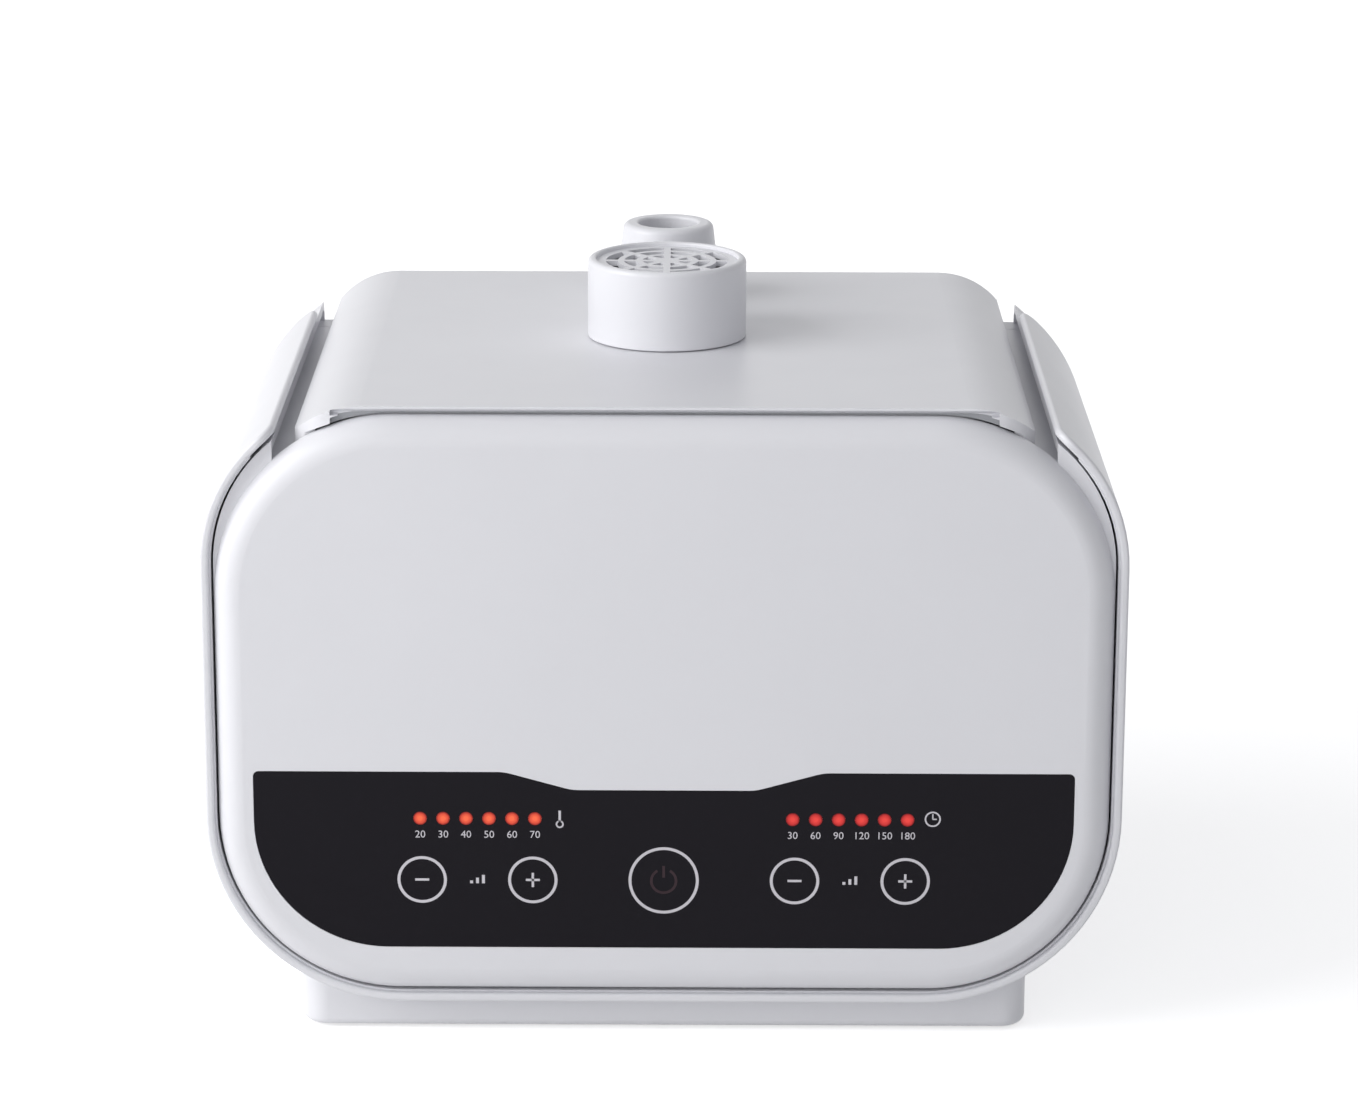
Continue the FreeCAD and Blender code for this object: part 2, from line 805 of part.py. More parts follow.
def outer_band():
    band = band_solid(band_gap + band_wall, band_gap, band_front, band_back, band_end_angle)
    angle = math.radians(band_end_angle)

    def on_end(p, e):
        radial = Vec(abs(p.x) - arc_x, 0, p.z - arc_top_z)
        on_ray = abs(math.atan2(radial.z, radial.x) - angle) < same
        return on_ray and min(abs(p.y - band_front), abs(p.y - band_back)) < same

    band = band.makeFillet(band_end_round, edges_where(band, on_end))
    rims = edges_where(band, lambda p, e: min(abs(p.y - band_front), abs(p.y - band_back)) < same)
    band = band.makeFillet(band_edge_round, rims)
    turned_in = band_front + band_return_set_back
    extent = (turned_in, turned_in + band_wall, band_return_angle)
    extras = [band_solid(band_gap + band_wall / 2, band_return_gap, *extent)]
    for x, y in base_screw_points:
        pad = Vec(x, y, band_bottom + band_wall / 2)
        extras.append(rod(base_screw_radius + boss_wall, pad, Vec(x, y, body_bottom)))
    for y in base_screw_ys:
        for z in (side_low_z + band_pad_run, arc_top_z - band_pad_run):
            start = Vec(body_half, y, z)
            extras += sides(rod(band_pad_radius, start, start + X_AXIS * (band_gap + band_wall / 2)))
    band = fused([band] + extras)
    holes = []
    for x, y in base_screw_points:
        start = Vec(x, y, band_bottom - over)
        holes.append(rod(base_screw_radius + screw_clear, start, Vec(x, y, body_bottom + over)))
    return band.cut(holes)


def foot_points():
    x = plinth_width / 2 - foot_inset
    ys = (plinth_front + foot_inset, plinth_back - foot_inset)
    return [(side * x, y) for side in (-1, 1) for y in ys]


def base_plinth():
    half = plinth_width / 2
    corners = rect(-half, half, plinth_front, plinth_back, plinth_corner)
    block = prism_xy(corners, foot_stand_out, body_bottom + plinth_horn)
    rim = edges_where(block, lambda p, e: abs(p.z - foot_stand_out) < same)
    block = block.makeFillet(plinth_edge_round, rim)
    block = block.cut(body_prism(-band_gap - band_wall, plinth_front - over, plinth_back + over))
    inner = half - plinth_wall
    hollow_y = (plinth_front + plinth_wall, plinth_back - plinth_wall)
    corners = rect(-inner, inner, *hollow_y, plinth_corner - plinth_wall)
    floor_top = foot_stand_out + plinth_wall
    block = block.cut(prism_xy(corners, floor_top, body_bottom + plinth_horn))
    extras = []
    holes = []
    for x, y in base_screw_points:
        start = Vec(x, y, floor_top - join)
        extras.append(rod(base_screw_head_radius + boss_wall, start, Vec(x, y, band_bottom)))
        holes.append(rod(base_screw_radius + screw_clear, Vec(x, y, 0), Vec(x, y, band_bottom + over)))
        holes.append(rod(base_screw_head_radius + screw_clear, Vec(x, y, 0), Vec(x, y, base_shoulder_z)))
    for x, y in foot_points():
        holes.append(rod(foot_radius + screw_clear, Vec(x, y, 0), Vec(x, y, foot_height)))
    for x in (-base_screw_x / 2, base_screw_x / 2):
        rib_x = (x - plinth_rib_wall / 2, x + plinth_rib_wall / 2)
        extras.append(box(*rib_x, hollow_y[0] - join, hollow_y[1] + join, floor_top - join, band_bottom))
    return fused([block] + extras).cut(holes)


def rubber_feet():
    feet = []
    for x, y in foot_points():
        feet.append(Part.makeCone(foot_radius - foot_taper, foot_radius, foot_height, Vec(x, y, 0), Z_AXIS))
    return group(feet)


# Control window and its board

def control_window():
    window = prism_xz(window_corners(0), front, window_back)
    return window.cut(lamp_rods(lamp_radius + lamp_fit, front - over, window_back + over))


def lamp_rods(radius, y0, y1):
    return [rod(radius, Vec(x, y0, z), Vec(x, y1, z)) for x, z in lamp_points()]


def indicator_lenses():
    return group(lamp_rods(lamp_radius, front, window_seat_back))


def indicator_leds():
    return group(lamp_rods(led_radius, window_seat_back, touch_board_front))


def touch_pads():
    ends = [(Vec(x, window_back, z), Vec(x, touch_board_front, z)) for x, z in key_points()]
    return group([rod(pad_radius, start, end) for start, end in ends])


def touch_board():
    half = touch_board_width / 2
    corners = rect(-half, half, touch_board_low, touch_board_high, board_corner)
    board = prism_xz(corners, touch_board_front, touch_board_back)
    holes = []
    for x, z in touch_post_points():
        start = Vec(x, touch_board_front - over, z)
        holes.append(rod(small_screw_radius + screw_clear, start, Vec(x, touch_board_back + over, z)))
    return board.cut(holes)


def touch_socket_place():
    """Outer end and middle height of the cable socket on the touch board."""
    return touch_board_width / 2 - 2 * board_hole_inset, (touch_board_low + touch_board_high) / 2


def touch_board_parts():
    x, z = touch_socket_place()
    back = touch_board_back + touch_socket_depth
    half = touch_socket_height / 2
    socket = box(x - touch_socket_width, x, touch_board_back, back, z - half, z + half)
    side = touch_chip_size / 2
    chip_back = touch_board_back + touch_chip_height
    chip = box(-side, side, touch_board_back, chip_back, z - side, z + side)
    return group([socket, chip])


def touch_board_screws():
    screws = []
    for x, z in touch_post_points():
        seat = Vec(x, touch_board_back, z)
        head = rod(small_screw_head_radius, seat, seat + Y_AXIS * small_screw_head_height)
        shank = rod(small_screw_radius, Vec(x, window_back + over + join, z), seat)
        screws.append(head.fuse(shank))
    return group(screws)


# Lid and what it carries

def lid_cover():
    inner = crown_form(lid_wall, lid_front - over)
    lid = crown_form(0, lid_front).common(lid_zone(0))
    lip_half = lid_half - lid_lip_side
    lip_room = box(-lip_half, lip_half, lid_front, flange_front, lid_low, lid_under)
    skirt = lid.cut([lid_zone(lid_wall), lip_room, panel_room()])
    lid = lid.cut(inner)

    def outer_rim(p, e):
        on_outer_face = Part.Vertex(p).distToShape(inner)[0] > lid_wall - close
        on_side = abs(abs(p.x) - lid_half) < close
        return on_outer_face and p.z > lid_low + close and (on_side or p.y < lid_front + lid_corner)

    lid = lid.makeFillet(lid_edge_round, edges_where(lid, outer_rim))
    extras = []
    rib_half = chamber_half - 2 * tub_corner
    for y in (vent_y - 2 * vent_cap_radius, port_y + 1.5 * port_nut_radius):
        low = lid_under - lid_rib_height
        extras.append(box(-rib_half, rib_half, y, y + lid_rib_wall, low, lid_under + join))
    for x0, x1 in hinge_knuckle_spans(True):
        extras.append(hinge_knuckle(x0, x1, lid_low, lid_low + hinge_web))
    lid = fused([lid, skirt] + extras)
    collar_radius = vent_boss_radius + vent_collar_fit
    holes = [rod(collar_radius, Vec(0, vent_y, lid_under - over), Vec(0, vent_y, body_top + over))]
    port_start = Vec(0, port_y, lid_under - over)
    holes.append(rod(port_spigot_radius + port_fit, port_start, Vec(0, port_y, body_top + over)))
    holes += hinge_bores(True)
    holes.append(finger_lip())
    return lid.cut(holes)


def panel_room():
    """The front panel's outline with a gap round it, which the lid's front corners stay out of."""
    half = body_half + lid_gap
    low = body_bottom - lid_gap
    corners = rect(-half, half, low, panel_top + lid_gap, panel_corner + lid_gap)
    return prism_xz(corners, lid_front - over, flange_front)


def finger_lip():
    """Slant under the lid's front edge, which leaves room for fingertips."""
    half = lid_half - lid_lip_side
    edge_z = body_top - lid_lip_edge
    toe_y = lid_front + lid_lip_slant
    low = lid_under - over
    corners = [(lid_front - over, low, 0), (toe_y, low, 0), (toe_y, lid_under, 0)]
    corners += [(lid_front, edge_z, 0), (lid_front - over, edge_z, 0)]
    return prism_yz(corners, -half, half)


def vent_collar():
    """Tube let into the lid from below, which the vent cap turns on."""
    low = lid_under - vent_collar_thick
    flange_radius = vent_boss_radius + vent_collar_flange
    collar = rod(flange_radius, Vec(0, vent_y, low), Vec(0, vent_y, lid_under))
    collar = fused([collar, rod(vent_boss_radius, Vec(0, vent_y, low), Vec(0, vent_y, vent_boss_top))])
    bore = rod(vent_boss_bore, Vec(0, vent_y, low - over), Vec(0, vent_y, vent_boss_top + over))
    return collar.cut([bore.cut(filter_spider())] + bayonet_channels())


def filter_spider():
    """Arms across the collar that the foam filter lies on."""
    low = filter_low - filter_arm_thick
    arms = [rod(filter_hub_radius, Vec(0, vent_y, low), Vec(0, vent_y, filter_low))]
    for i in range(filter_arms // 2):
        half = filter_arm_width / 2
        arm = box(-vent_boss_radius, vent_boss_radius, vent_y - half, vent_y + half, low, filter_low)
        arm.rotate(Vec(0, vent_y, 0), Z_AXIS, i * 360.0 / filter_arms)
        arms.append(arm)
    return fused(arms)


def bayonet_z():
    return body_top + vent_cap_lift + vent_lug_lift


def bayonet_lugs():
    """Lugs inside the cap's skirt."""
    inner = vent_boss_radius + vent_turn_fit - vent_lug_reach
    outer = vent_boss_radius + vent_turn_fit + join
    z = bayonet_z()
    lugs = []
    for i in range(vent_lugs):
        start = i * 360.0 / vent_lugs
        lugs.append(vent_sector(inner, outer, z, z + vent_lug_height, start, vent_lug_sweep))
    return lugs


def bayonet_channels():
    """Slots in the collar that hold the lugs through the cap's turn, each with its way out at the end."""
    inner = vent_boss_radius + vent_turn_fit - vent_lug_reach - vent_lug_fit
    outer = vent_boss_radius + over
    low = bayonet_z() - vent_lug_fit
    high = bayonet_z() + vent_lug_height + vent_lug_fit
    mouth_sweep = vent_lug_sweep + 2 * vent_lug_fit_angle
    channels = []
    for i in range(vent_lugs):
        start = i * 360.0 / vent_lugs - vent_lug_fit_angle
        channels.append(vent_sector(inner, outer, low, high, start, vent_turn_angle + mouth_sweep))
        mouth = start + vent_turn_angle
        channels.append(vent_sector(inner, outer, low, vent_boss_top + over, mouth, mouth_sweep))
    return channels


def vent_sector(inner, outer, z0, z1, start, sweep):
    """Wedge of a ring about the vent's axis, angles in degrees."""
    sector = Part.makeCylinder(outer, z1 - z0, Vec(0, vent_y, z0), Z_AXIS, sweep)
    sector.rotate(Vec(0, vent_y, 0), Z_AXIS, start)
    return sector.cut(rod(inner, Vec(0, vent_y, z0 - over), Vec(0, vent_y, z1 + over)))


def vent_cap():
    base = body_top + vent_cap_lift
    rim_bore = vent_cap_radius - vent_rim_wall
    body = turned(
        [
            (0, base, 0),
            (vent_cap_radius, base, vent_foot_round),
            (vent_cap_radius, cap_top, vent_cap_round),
            (rim_bore, cap_top, vent_lip_round),
            (rim_bore, cap_top - vent_grille_recess, 0),
            (0, cap_top - vent_grille_recess, 0),
        ],
        Vec(0, vent_y, 0),
    )
    grille_low = cap_top - vent_grille_recess - vent_grille_thick
    body = body.cut(rod(rim_bore, Vec(0, vent_y, base - over), Vec(0, vent_y, grille_low)))
    return fused([body] + bayonet_lugs()).cut(vent_slots(grille_low - over, cap_top))


def vent_slots(z0, z1):
    """Rings of slots, parted by straight spokes."""
    reach = vent_cap_radius
    spokes = []
    for i in range(vent_spokes // 2):
        half = vent_spoke_width / 2
        spoke = box(-reach, reach, vent_y - half, vent_y + half, z0 - over, z1 + over)
        spoke.rotate(Vec(0, vent_y, 0), Z_AXIS, i * 360.0 / vent_spokes)
        spokes.append(spoke)
    slots = []
    for i in range(vent_slot_rings):
        inner = vent_hub_radius + i * (vent_slot_width + vent_ring_width)
        annulus = ring(inner + vent_slot_width, inner, Vec(0, vent_y, z0), Vec(0, vent_y, z1))
        slots.append(annulus.cut(spokes))
    return slots


def vent_filter():
    """Foam disc on the collar's spider, under the cap's grille."""
    return rod(vent_boss_bore - filter_fit, Vec(0, vent_y, filter_low), Vec(0, vent_y, vent_boss_top))


def filament_port():
    low = lid_under - port_spigot_length
    high = body_top + port_height
    return turned(
        [
            (port_bore_radius, low, 0),
            (port_spigot_radius, low, port_spigot_round),
            (port_spigot_radius, body_top, 0),
            (port_base_radius, body_top, port_foot_round),
            (port_top_radius, high, port_rim_round),
            (port_bore_radius, high, port_mouth_round),
        ],
        Vec(0, port_y, 0),
    )


def port_seal():
    start = Vec(0, port_y, lid_under - port_seal_thick)
    return ring(port_nut_radius, port_spigot_radius + port_fit, start, Vec(0, port_y, lid_under))


def port_nut():
    high = lid_under - port_seal_thick
    low = high - port_nut_height
    nut = ring(port_nut_radius, port_spigot_radius + port_fit, Vec(0, port_y, low), Vec(0, port_y, high))
    notches = []
    for i in range(port_nut_notches):
        angle = 2 * math.pi * i / port_nut_notches
        outward = Vec(math.cos(angle), math.sin(angle), 0)
        at = Vec(0, port_y, low - over) + outward * port_nut_radius
        notches.append(rod(port_nut_notch_radius, at, at + Z_AXIS * (port_nut_height + 2 * over)))
    return nut.cut(notches)


def gasket_frame(z0, z1):
    """Frame round the chamber's mouth, used for the gasket and for its carrier."""
    outer = tub_half + gasket_width
    back = flange_back - gasket_clear
    frame = prism_xy(rect(-outer, outer, gasket_front, back, tub_corner), z0, z1)
    span_y = (gasket_front + gasket_width, back - gasket_width)
    mouth = rect(-tub_half, tub_half, *span_y, tub_corner - gasket_width)
    return frame.cut(prism_xy(mouth, z0, z1))


def gasket_carrier():
    """Inner frame of the lid, let into its arch from below, which carries the gasket."""
    return gasket_frame(gasket_high, body_top).common(crown_form(lid_wall + carrier_fit, lid_front))


def lid_gasket():
    return gasket_frame(gasket_low, gasket_high)


# Drying chamber

def tub_prism(inset, z0, z1):
    half = tub_half - inset
    corners = rect(-half, half, tub_front + inset, tub_back - inset, tub_corner + tub_wall - inset)
    block = prism_xy(corners, z0, z1)
    floor = edges_where(block, lambda p, e: abs(p.z - z0) < same)
    return block.makeFillet(tub_floor_round + tub_wall - inset, floor)


def wall_slots(x0, x1, mid_y, count):
    """Upright air slots through a side wall."""
    slots = []
    low = air_centre_z - grille_height / 2
    for i in range(count):
        y = mid_y + (i - (count - 1) / 2) * grille_pitch
        slots.append(box(x0, x1, y - grille_slot / 2, y + grille_slot / 2, low, low + grille_height))
    return slots


def chamber_tub():
    walls = tub_prism(0, tub_under, flange_top)
    corners = rect(-flange_half, flange_half, flange_front, flange_back, flange_corner)
    flange = prism_xy(corners, ledge_z, flange_top)
    tub = fused([walls, flange]).cut(tub_prism(tub_wall, chamber_floor, flange_top + over))
    posts = []
    holes = []
    for y, z in power_post_points():
        posts.append(rod(power_post_radius, Vec(tub_half - join, y, z), Vec(power_board_x, y, z)))
        holes.append(rod(screw_radius + screw_fit, Vec(tub_half, y, z), Vec(power_board_x + over, y, z)))
    for x, y in cradle_screw_points():
        boss_low = body_bottom + sleeve_wall + screw_clear
        posts.append(rod(screw_radius + boss_wall, Vec(x, y, boss_low), Vec(x, y, tub_under + join)))
        start = Vec(x, y, boss_low + over)
        holes.append(rod(screw_radius + screw_fit, start, Vec(x, y, chamber_floor + over)))
    tub = fused([tub] + posts)
    wall_x = (-tub_half - over, -tub_half + tub_wall + over)
    holes += wall_slots(*wall_x, fan_mid_y, grille_slots)
    holes += wall_slots(*wall_x, chamber_mid + return_set_back, return_slots)
    return tub.cut(holes)


def cradle_screw_points():
    x = cradle_inner - cradle_foot_width / 2
    ys = (chamber_mid - cradle_screw_reach, chamber_mid + cradle_screw_reach)
    return [(side * x, y) for side in (-1, 1) for y in ys]


# Rollers and their cradles

def cradle(side):
    """Side bracket with two bearing seats, and a foot screwed to the chamber's floor."""
    low = chamber_floor
    reach_y = (chamber_mid - cradle_reach, chamber_mid + cradle_reach)
    foot_y = (chamber_mid - cradle_reach / 2, chamber_mid + cradle_reach / 2)
    pieces = [box(cradle_inner, cradle_outer, *reach_y, low, low + 2 * cradle_foot_thick)]
    foot_x = cradle_inner - cradle_foot_width
    pieces.append(box(foot_x, cradle_inner + join, *foot_y, low, low + cradle_foot_thick))
    holes = []
    for y in roller_ys:
        axis_start = Vec(cradle_inner, y, roller_z)
        ear_y = (y - cradle_ear_radius, y + cradle_ear_radius)
        pieces.append(rod(cradle_ear_radius, axis_start, Vec(cradle_outer, y, roller_z)))
        pieces.append(box(cradle_inner, cradle_outer, *ear_y, low, roller_z))
        seat_end = Vec(cradle_inner + bearing_width, y, roller_z)
        holes.append(rod(bearing_radius + bearing_fit, Vec(cradle_inner - over, y, roller_z), seat_end))
        pocket_end = Vec(cradle_outer - cradle_end_wall, y, roller_z)
        holes.append(rod((bearing_radius + axle_radius) / 2, axis_start, pocket_end))
    for x, y in cradle_screw_points():
        start = Vec(abs(x), y, low - over)
        holes.append(rod(screw_radius + screw_clear, start, Vec(abs(x), y, low + cradle_foot_thick + over)))
    shape = fused(pieces).cut(holes)
    return shape if side > 0 else shape.mirror(Vec(0, 0, 0), X_AXIS)


def left_cradle():
    return cradle(-1)


def right_cradle():
    return cradle(1)


def cradle_screws():
    """Pan heads on the cradles' feet, with their tips in the bosses under the chamber's floor."""
    screws = []
    tip_z = body_bottom + sleeve_wall + screw_clear + 2 * over
    for x, y in cradle_screw_points():
        seat = Vec(x, y, chamber_floor + cradle_foot_thick)
        head = rod(screw_head_radius, seat, seat + Z_AXIS * screw_head_height)
        screws.append(head.fuse(rod(screw_radius, Vec(x, y, tip_z), seat)))
    return group(screws)


def axle_bearings():
    rings = []
    for y in roller_ys:
        start = Vec(cradle_inner, y, roller_z)
        end = Vec(cradle_inner + bearing_width, y, roller_z)
        rings += sides(ring(bearing_radius, axle_radius + axle_fit, start, end))
    return group(rings)


def roller_axle(y):
    half = cradle_outer - cradle_end_wall - axle_end_gap
    return rod(axle_radius, Vec(-half, y, roller_z), Vec(half, y, roller_z))


def roller_wheels(y):
    wheels = []
    core = roller_radius - tyre_thick - wheel_fit
    half = roller_width / 2
    reach = half + wheel_hub_reach
    bore = axle_radius + axle_fit
    for x in wheel_xs:
        wheel = ring(core, bore, Vec(x - half, y, roller_z), Vec(x + half, y, roller_z))
        hub_start = Vec(x - reach, y, roller_z)
        hub = ring(axle_radius + wheel_hub_wall, bore, hub_start, Vec(x + reach, y, roller_z))
        wheels.append(fused([wheel, hub]))
    return group(wheels)


def roller_tyres(y):
    tyres = []
    half = roller_width / 2
    bore = roller_radius - tyre_thick
    rim_length = 2 * math.pi * roller_radius
    for x in wheel_xs:
        tyre = ring(roller_radius, bore, Vec(x - half, y, roller_z), Vec(x + half, y, roller_z))
        rims = edges_where(tyre, lambda p, e: abs(e.Length - rim_length) < close)
        tyres.append(tyre.makeFillet(tyre_edge_round, rims))
    return group(tyres)


# Fan, heater and duct; their axis runs along X, and local +Z of a fan piece points at the chamber

def at_fan(shape, x):
    """Turns a piece built about the Z axis so that its axis runs along +X from x."""
    shape.rotate(Vec(0, 0, 0), Y_AXIS, 90)
    shape.translate(Vec(x, fan_mid_y, air_centre_z))
    return shape


def fan_frame():
    half = fan_size / 2
    frame = prism_xy(rect(-half, half, -half, half, fan_corner), 0, fan_thick)
    frame = frame.cut(rod(fan_bore_radius, Vec(0, 0, -over), Vec(0, 0, fan_thick + over)))
    strut_low = fan_thick - fan_strut_thick
    spider = [rod(fan_hub_radius, Vec(0, 0, strut_low), Vec(0, 0, fan_thick))]
    half_strut = fan_strut_width / 2
    for i in range(fan_struts):
        strut = box(0, fan_bore_radius + join, -half_strut, half_strut, strut_low, fan_thick)
        strut.rotate(Vec(0, 0, 0), Z_AXIS, 360.0 * i / fan_struts)
        spider.append(strut)
    bush_low = strut_low - fan_bush_length
    spider.append(rod(fan_bush_radius, Vec(0, 0, bush_low), Vec(0, 0, strut_low + join)))
    frame = fused([frame] + spider)
    holes = [rod(fan_shaft_radius + fan_shaft_fit, Vec(0, 0, bush_low - over), Vec(0, 0, strut_low))]
    for u, v in fan_hole_points():
        holes.append(rod(screw_radius + screw_clear, Vec(u, v, -over), Vec(u, v, fan_thick + over)))
    return at_fan(frame.cut(holes), fan_front)


def fan_motor():
    """Wound stator on the frame's bush, inside the rotor's cup."""
    high = fan_thick - fan_strut_thick - fan_running_gap
    low = high - fan_motor_length
    core = ring(fan_motor_radius, fan_bush_radius + fan_motor_fit, Vec(0, 0, low), Vec(0, 0, high))
    slots = []
    slot_x = (fan_bush_radius + fan_motor_core, fan_motor_radius + over)
    half_slot = fan_motor_slot / 2
    for i in range(fan_motor_poles):
        slot = box(*slot_x, -half_slot, half_slot, low - over, high + over)
        slot.rotate(Vec(0, 0, 0), Z_AXIS, 360.0 * (i + 0.5) / fan_motor_poles)
        slots.append(slot)
    return at_fan(core.cut(slots), fan_front)


def blade_section(radius, chord, pitch, mid_z):
    """Thin slanted rectangle that a fan blade passes through at a radius."""
    angle = math.radians(pitch)
    along = Vec(0, math.cos(angle), math.sin(angle)) * (chord / 2)
    across = Vec(0, -math.sin(angle), math.cos(angle)) * (fan_blade_thick / 2)
    middle = Vec(radius, 0, mid_z)
    leading = middle + along
    trailing = middle - along
    points = [trailing - across, leading - across, leading + across, trailing + across]
    return Part.makePolygon(points + points[:1])


def fan_rotor():
    low = fan_running_gap
    high = fan_thick - fan_strut_thick - fan_running_gap
    cup = rod(fan_hub_radius, Vec(0, 0, low), Vec(0, 0, high))
    cup = cup.cut(rod(fan_hub_radius - fan_cup_wall, Vec(0, 0, low + fan_cup_wall), Vec(0, 0, high + over)))
    shaft = rod(fan_shaft_radius, Vec(0, 0, low), Vec(0, 0, high))
    tip = fan_bore_radius - fan_tip_clear
    root = fan_hub_radius - fan_cup_wall / 2
    mid_z = (low + high) / 2
    sections = [
        blade_section(root, fan_root_chord, fan_root_pitch, mid_z),
        blade_section((root + tip) / 2, fan_mid_chord, (fan_root_pitch + fan_tip_pitch) / 2, mid_z),
        blade_section(tip, fan_tip_chord, fan_tip_pitch, mid_z),
    ]
    blade = Part.makeLoft(sections, True, False).cut(rod(root, Vec(0, 0, low), Vec(0, 0, high)))
    blades = []
    for i in range(fan_blades):
        turned_blade = blade.copy()
        turned_blade.rotate(Vec(0, 0, 0), Z_AXIS, 360.0 * i / fan_blades)
        blades.append(turned_blade)
    return at_fan(fused([cup, shaft] + blades), fan_front)


def fan_screws():
    screws = []
    for u, v in fan_hole_points():
        head = rod(screw_head_radius, Vec(u, v, -screw_head_height), Vec(u, v, 0))
        shank = rod(screw_radius, Vec(u, v, 0), Vec(u, v, fan_thick + duct_wall))
        screws.append(head.fuse(shank))
    return at_fan(group(screws), fan_front)


def air_duct():
    """Square shroud from the fan to the chamber's wall, with a flange at each end."""
    half = fan_size / 2
    shroud = prism_xy(rect(-half, half, -half, half, fan_corner), 0, duct_depth)
    inner = duct_inner_half()
    shroud = shroud.cut(box(-inner, inner, -inner, inner, -over, duct_depth + over))
    outer = inner + duct_wall
    waist = box(-half - over, half + over, -half - over, half + over, duct_wall, duct_depth - duct_wall)
    waist = waist.cut(box(-outer, outer, -outer, outer, 0, duct_depth))
    shroud = shroud.cut(waist)
    holes = []
    for u, v in fan_hole_points():
        holes.append(rod(screw_radius + screw_fit, Vec(u, v, -over), Vec(u, v, duct_wall + over)))
    return at_fan(shroud.cut(holes), duct_front)


def fan_hole_points():
    pitch = fan_hole_pitch / 2
    return [(u, v) for u in (-pitch, pitch) for v in (-pitch, pitch)]


def duct_inner_half():
    """Half the duct's clear width, which leaves its flange room for the fan's screws."""
    return fan_hole_pitch / 2 - screw_radius - duct_wall - screw_clear


def heater_frame():
    """Two end caps that hold the heater's bars in the duct."""
    half = duct_inner_half() - duct_fit
    caps = []
    for side in (-1, 1):
        outer = side * half
        inner = side * (half - heater_end_wall)
        caps.append(box(-half, half, min(outer, inner), max(outer, inner), 0, heater_depth))
    return at_fan(group(caps), duct_front + heater_set_off)


def heater_rows():
    """Heights of the bars along the duct, evenly spread."""
    half = duct_inner_half() - duct_fit
    step = (2 * half - heater_bar_height) / (heater_bars_count - 1)
    return [-half + i * step for i in range(heater_bars_count)]


def heater_bars():
    half = duct_inner_half() - duct_fit - heater_end_wall
    bars = [box(u, u + heater_bar_height, -half, half, 0, heater_depth) for u in heater_rows()]
    return at_fan(group(bars), duct_front + heater_set_off)


def heater_fins():
    """Folded fin strip between each two bars."""
    half = duct_inner_half() - duct_fit - heater_end_wall
    folds = int(2 * half / heater_fin_pitch)
    step = 2 * half / folds
    thick = heater_fin_thick
    strips = []
    rows = heater_rows()
    for low_bar, high_bar in zip(rows, rows[1:]):
        low = low_bar + heater_bar_height
        near = []
        far = []
        for i in range(folds + 1):
            v = -half + i * step
            inner = low if i % 2 else high_bar - thick
            near.append((inner, v, 0))
            far.append((inner + thick, v, 0))
        strips.append(prism_xy(near + far[::-1], 0, heater_depth))
    return at_fan(group(strips), duct_front + heater_set_off)


def thermal_cutout():
    """Round safety switch on the duct's upper side."""
    top = -(duct_inner_half() + duct_wall)
    start = Vec(top, 0, duct_depth / 2)
    end = start - X_AXIS * cutout_height
    button = rod(cutout_radius / 2, end, end - X_AXIS * cutout_button)
    return at_fan(rod(cutout_radius, start, end).fuse(button), duct_front)


# Power board, inlet, sensor and wiring

def power_post_points():
    y = power_board_width / 2 - board_hole_inset
    z = power_board_height / 2 - board_hole_inset
    return [(chamber_mid + u, air_centre_z + v) for u in (-y, y) for v in (-z, z)]


def power_board():
    y = power_board_width / 2
    z = power_board_height / 2
    corners = rect(chamber_mid - y, chamber_mid + y, air_centre_z - z, air_centre_z + z, board_corner)
    board = prism_yz(corners, power_board_x, power_face_x)
    ends = [(Vec(tub_half, *point), Vec(power_face_x + over, *point)) for point in power_post_points()]
    return board.cut([rod(screw_radius + screw_clear, start, end) for start, end in ends])


def power_board_screws():
    screws = []
    for y, z in power_post_points():
        seat = Vec(power_face_x, y, z)
        head = rod(screw_head_radius, seat, seat + X_AXIS * screw_head_height)
        screws.append(head.fuse(rod(screw_radius, Vec(tub_half + over, y, z), seat)))
    return group(screws)


def power_sockets():
    """Middles (y, z) of the leads' sockets: touch board, inlet, heater and fan."""
    y = power_board_width / 2 - socket_width
    z = power_board_height / 2 - 2 * socket_height
    return [
        (chamber_mid - y, air_centre_z - z),
        (chamber_mid + y, air_centre_z - z),
        (chamber_mid + y, air_centre_z),
        (chamber_mid + y, air_centre_z + z),
    ]


def power_board_parts():
    """Transformer, two capacitors, a relay and the leads' sockets."""
    x = power_face_x
    half_y = transformer_width / 2
    half_z = transformer_height / 2
    core_y = (chamber_mid - half_y, chamber_mid + half_y)
    parts = [box(x, x + transformer_depth, *core_y, air_centre_z - half_z, air_centre_z + half_z)]
    for side in (-1, 1):
        at = Vec(x, chamber_mid - transformer_width, air_centre_z + side * 1.5 * capacitor_radius)
        parts.append(rod(capacitor_radius, at, at + X_AXIS * capacitor_length))
    relay_y = (chamber_mid - relay_width / 2, chamber_mid + relay_width / 2)
    relay_z = air_centre_z + half_z + capacitor_radius
    parts.append(box(x, x + relay_depth, *relay_y, relay_z, relay_z + relay_height))
    for y, z in power_sockets():
        socket_y = (y - socket_width / 2, y + socket_width / 2)
        socket_z = (z - socket_height / 2, z + socket_height / 2)
        parts.append(box(x, x + socket_depth, *socket_y, *socket_z))
    return group(parts)


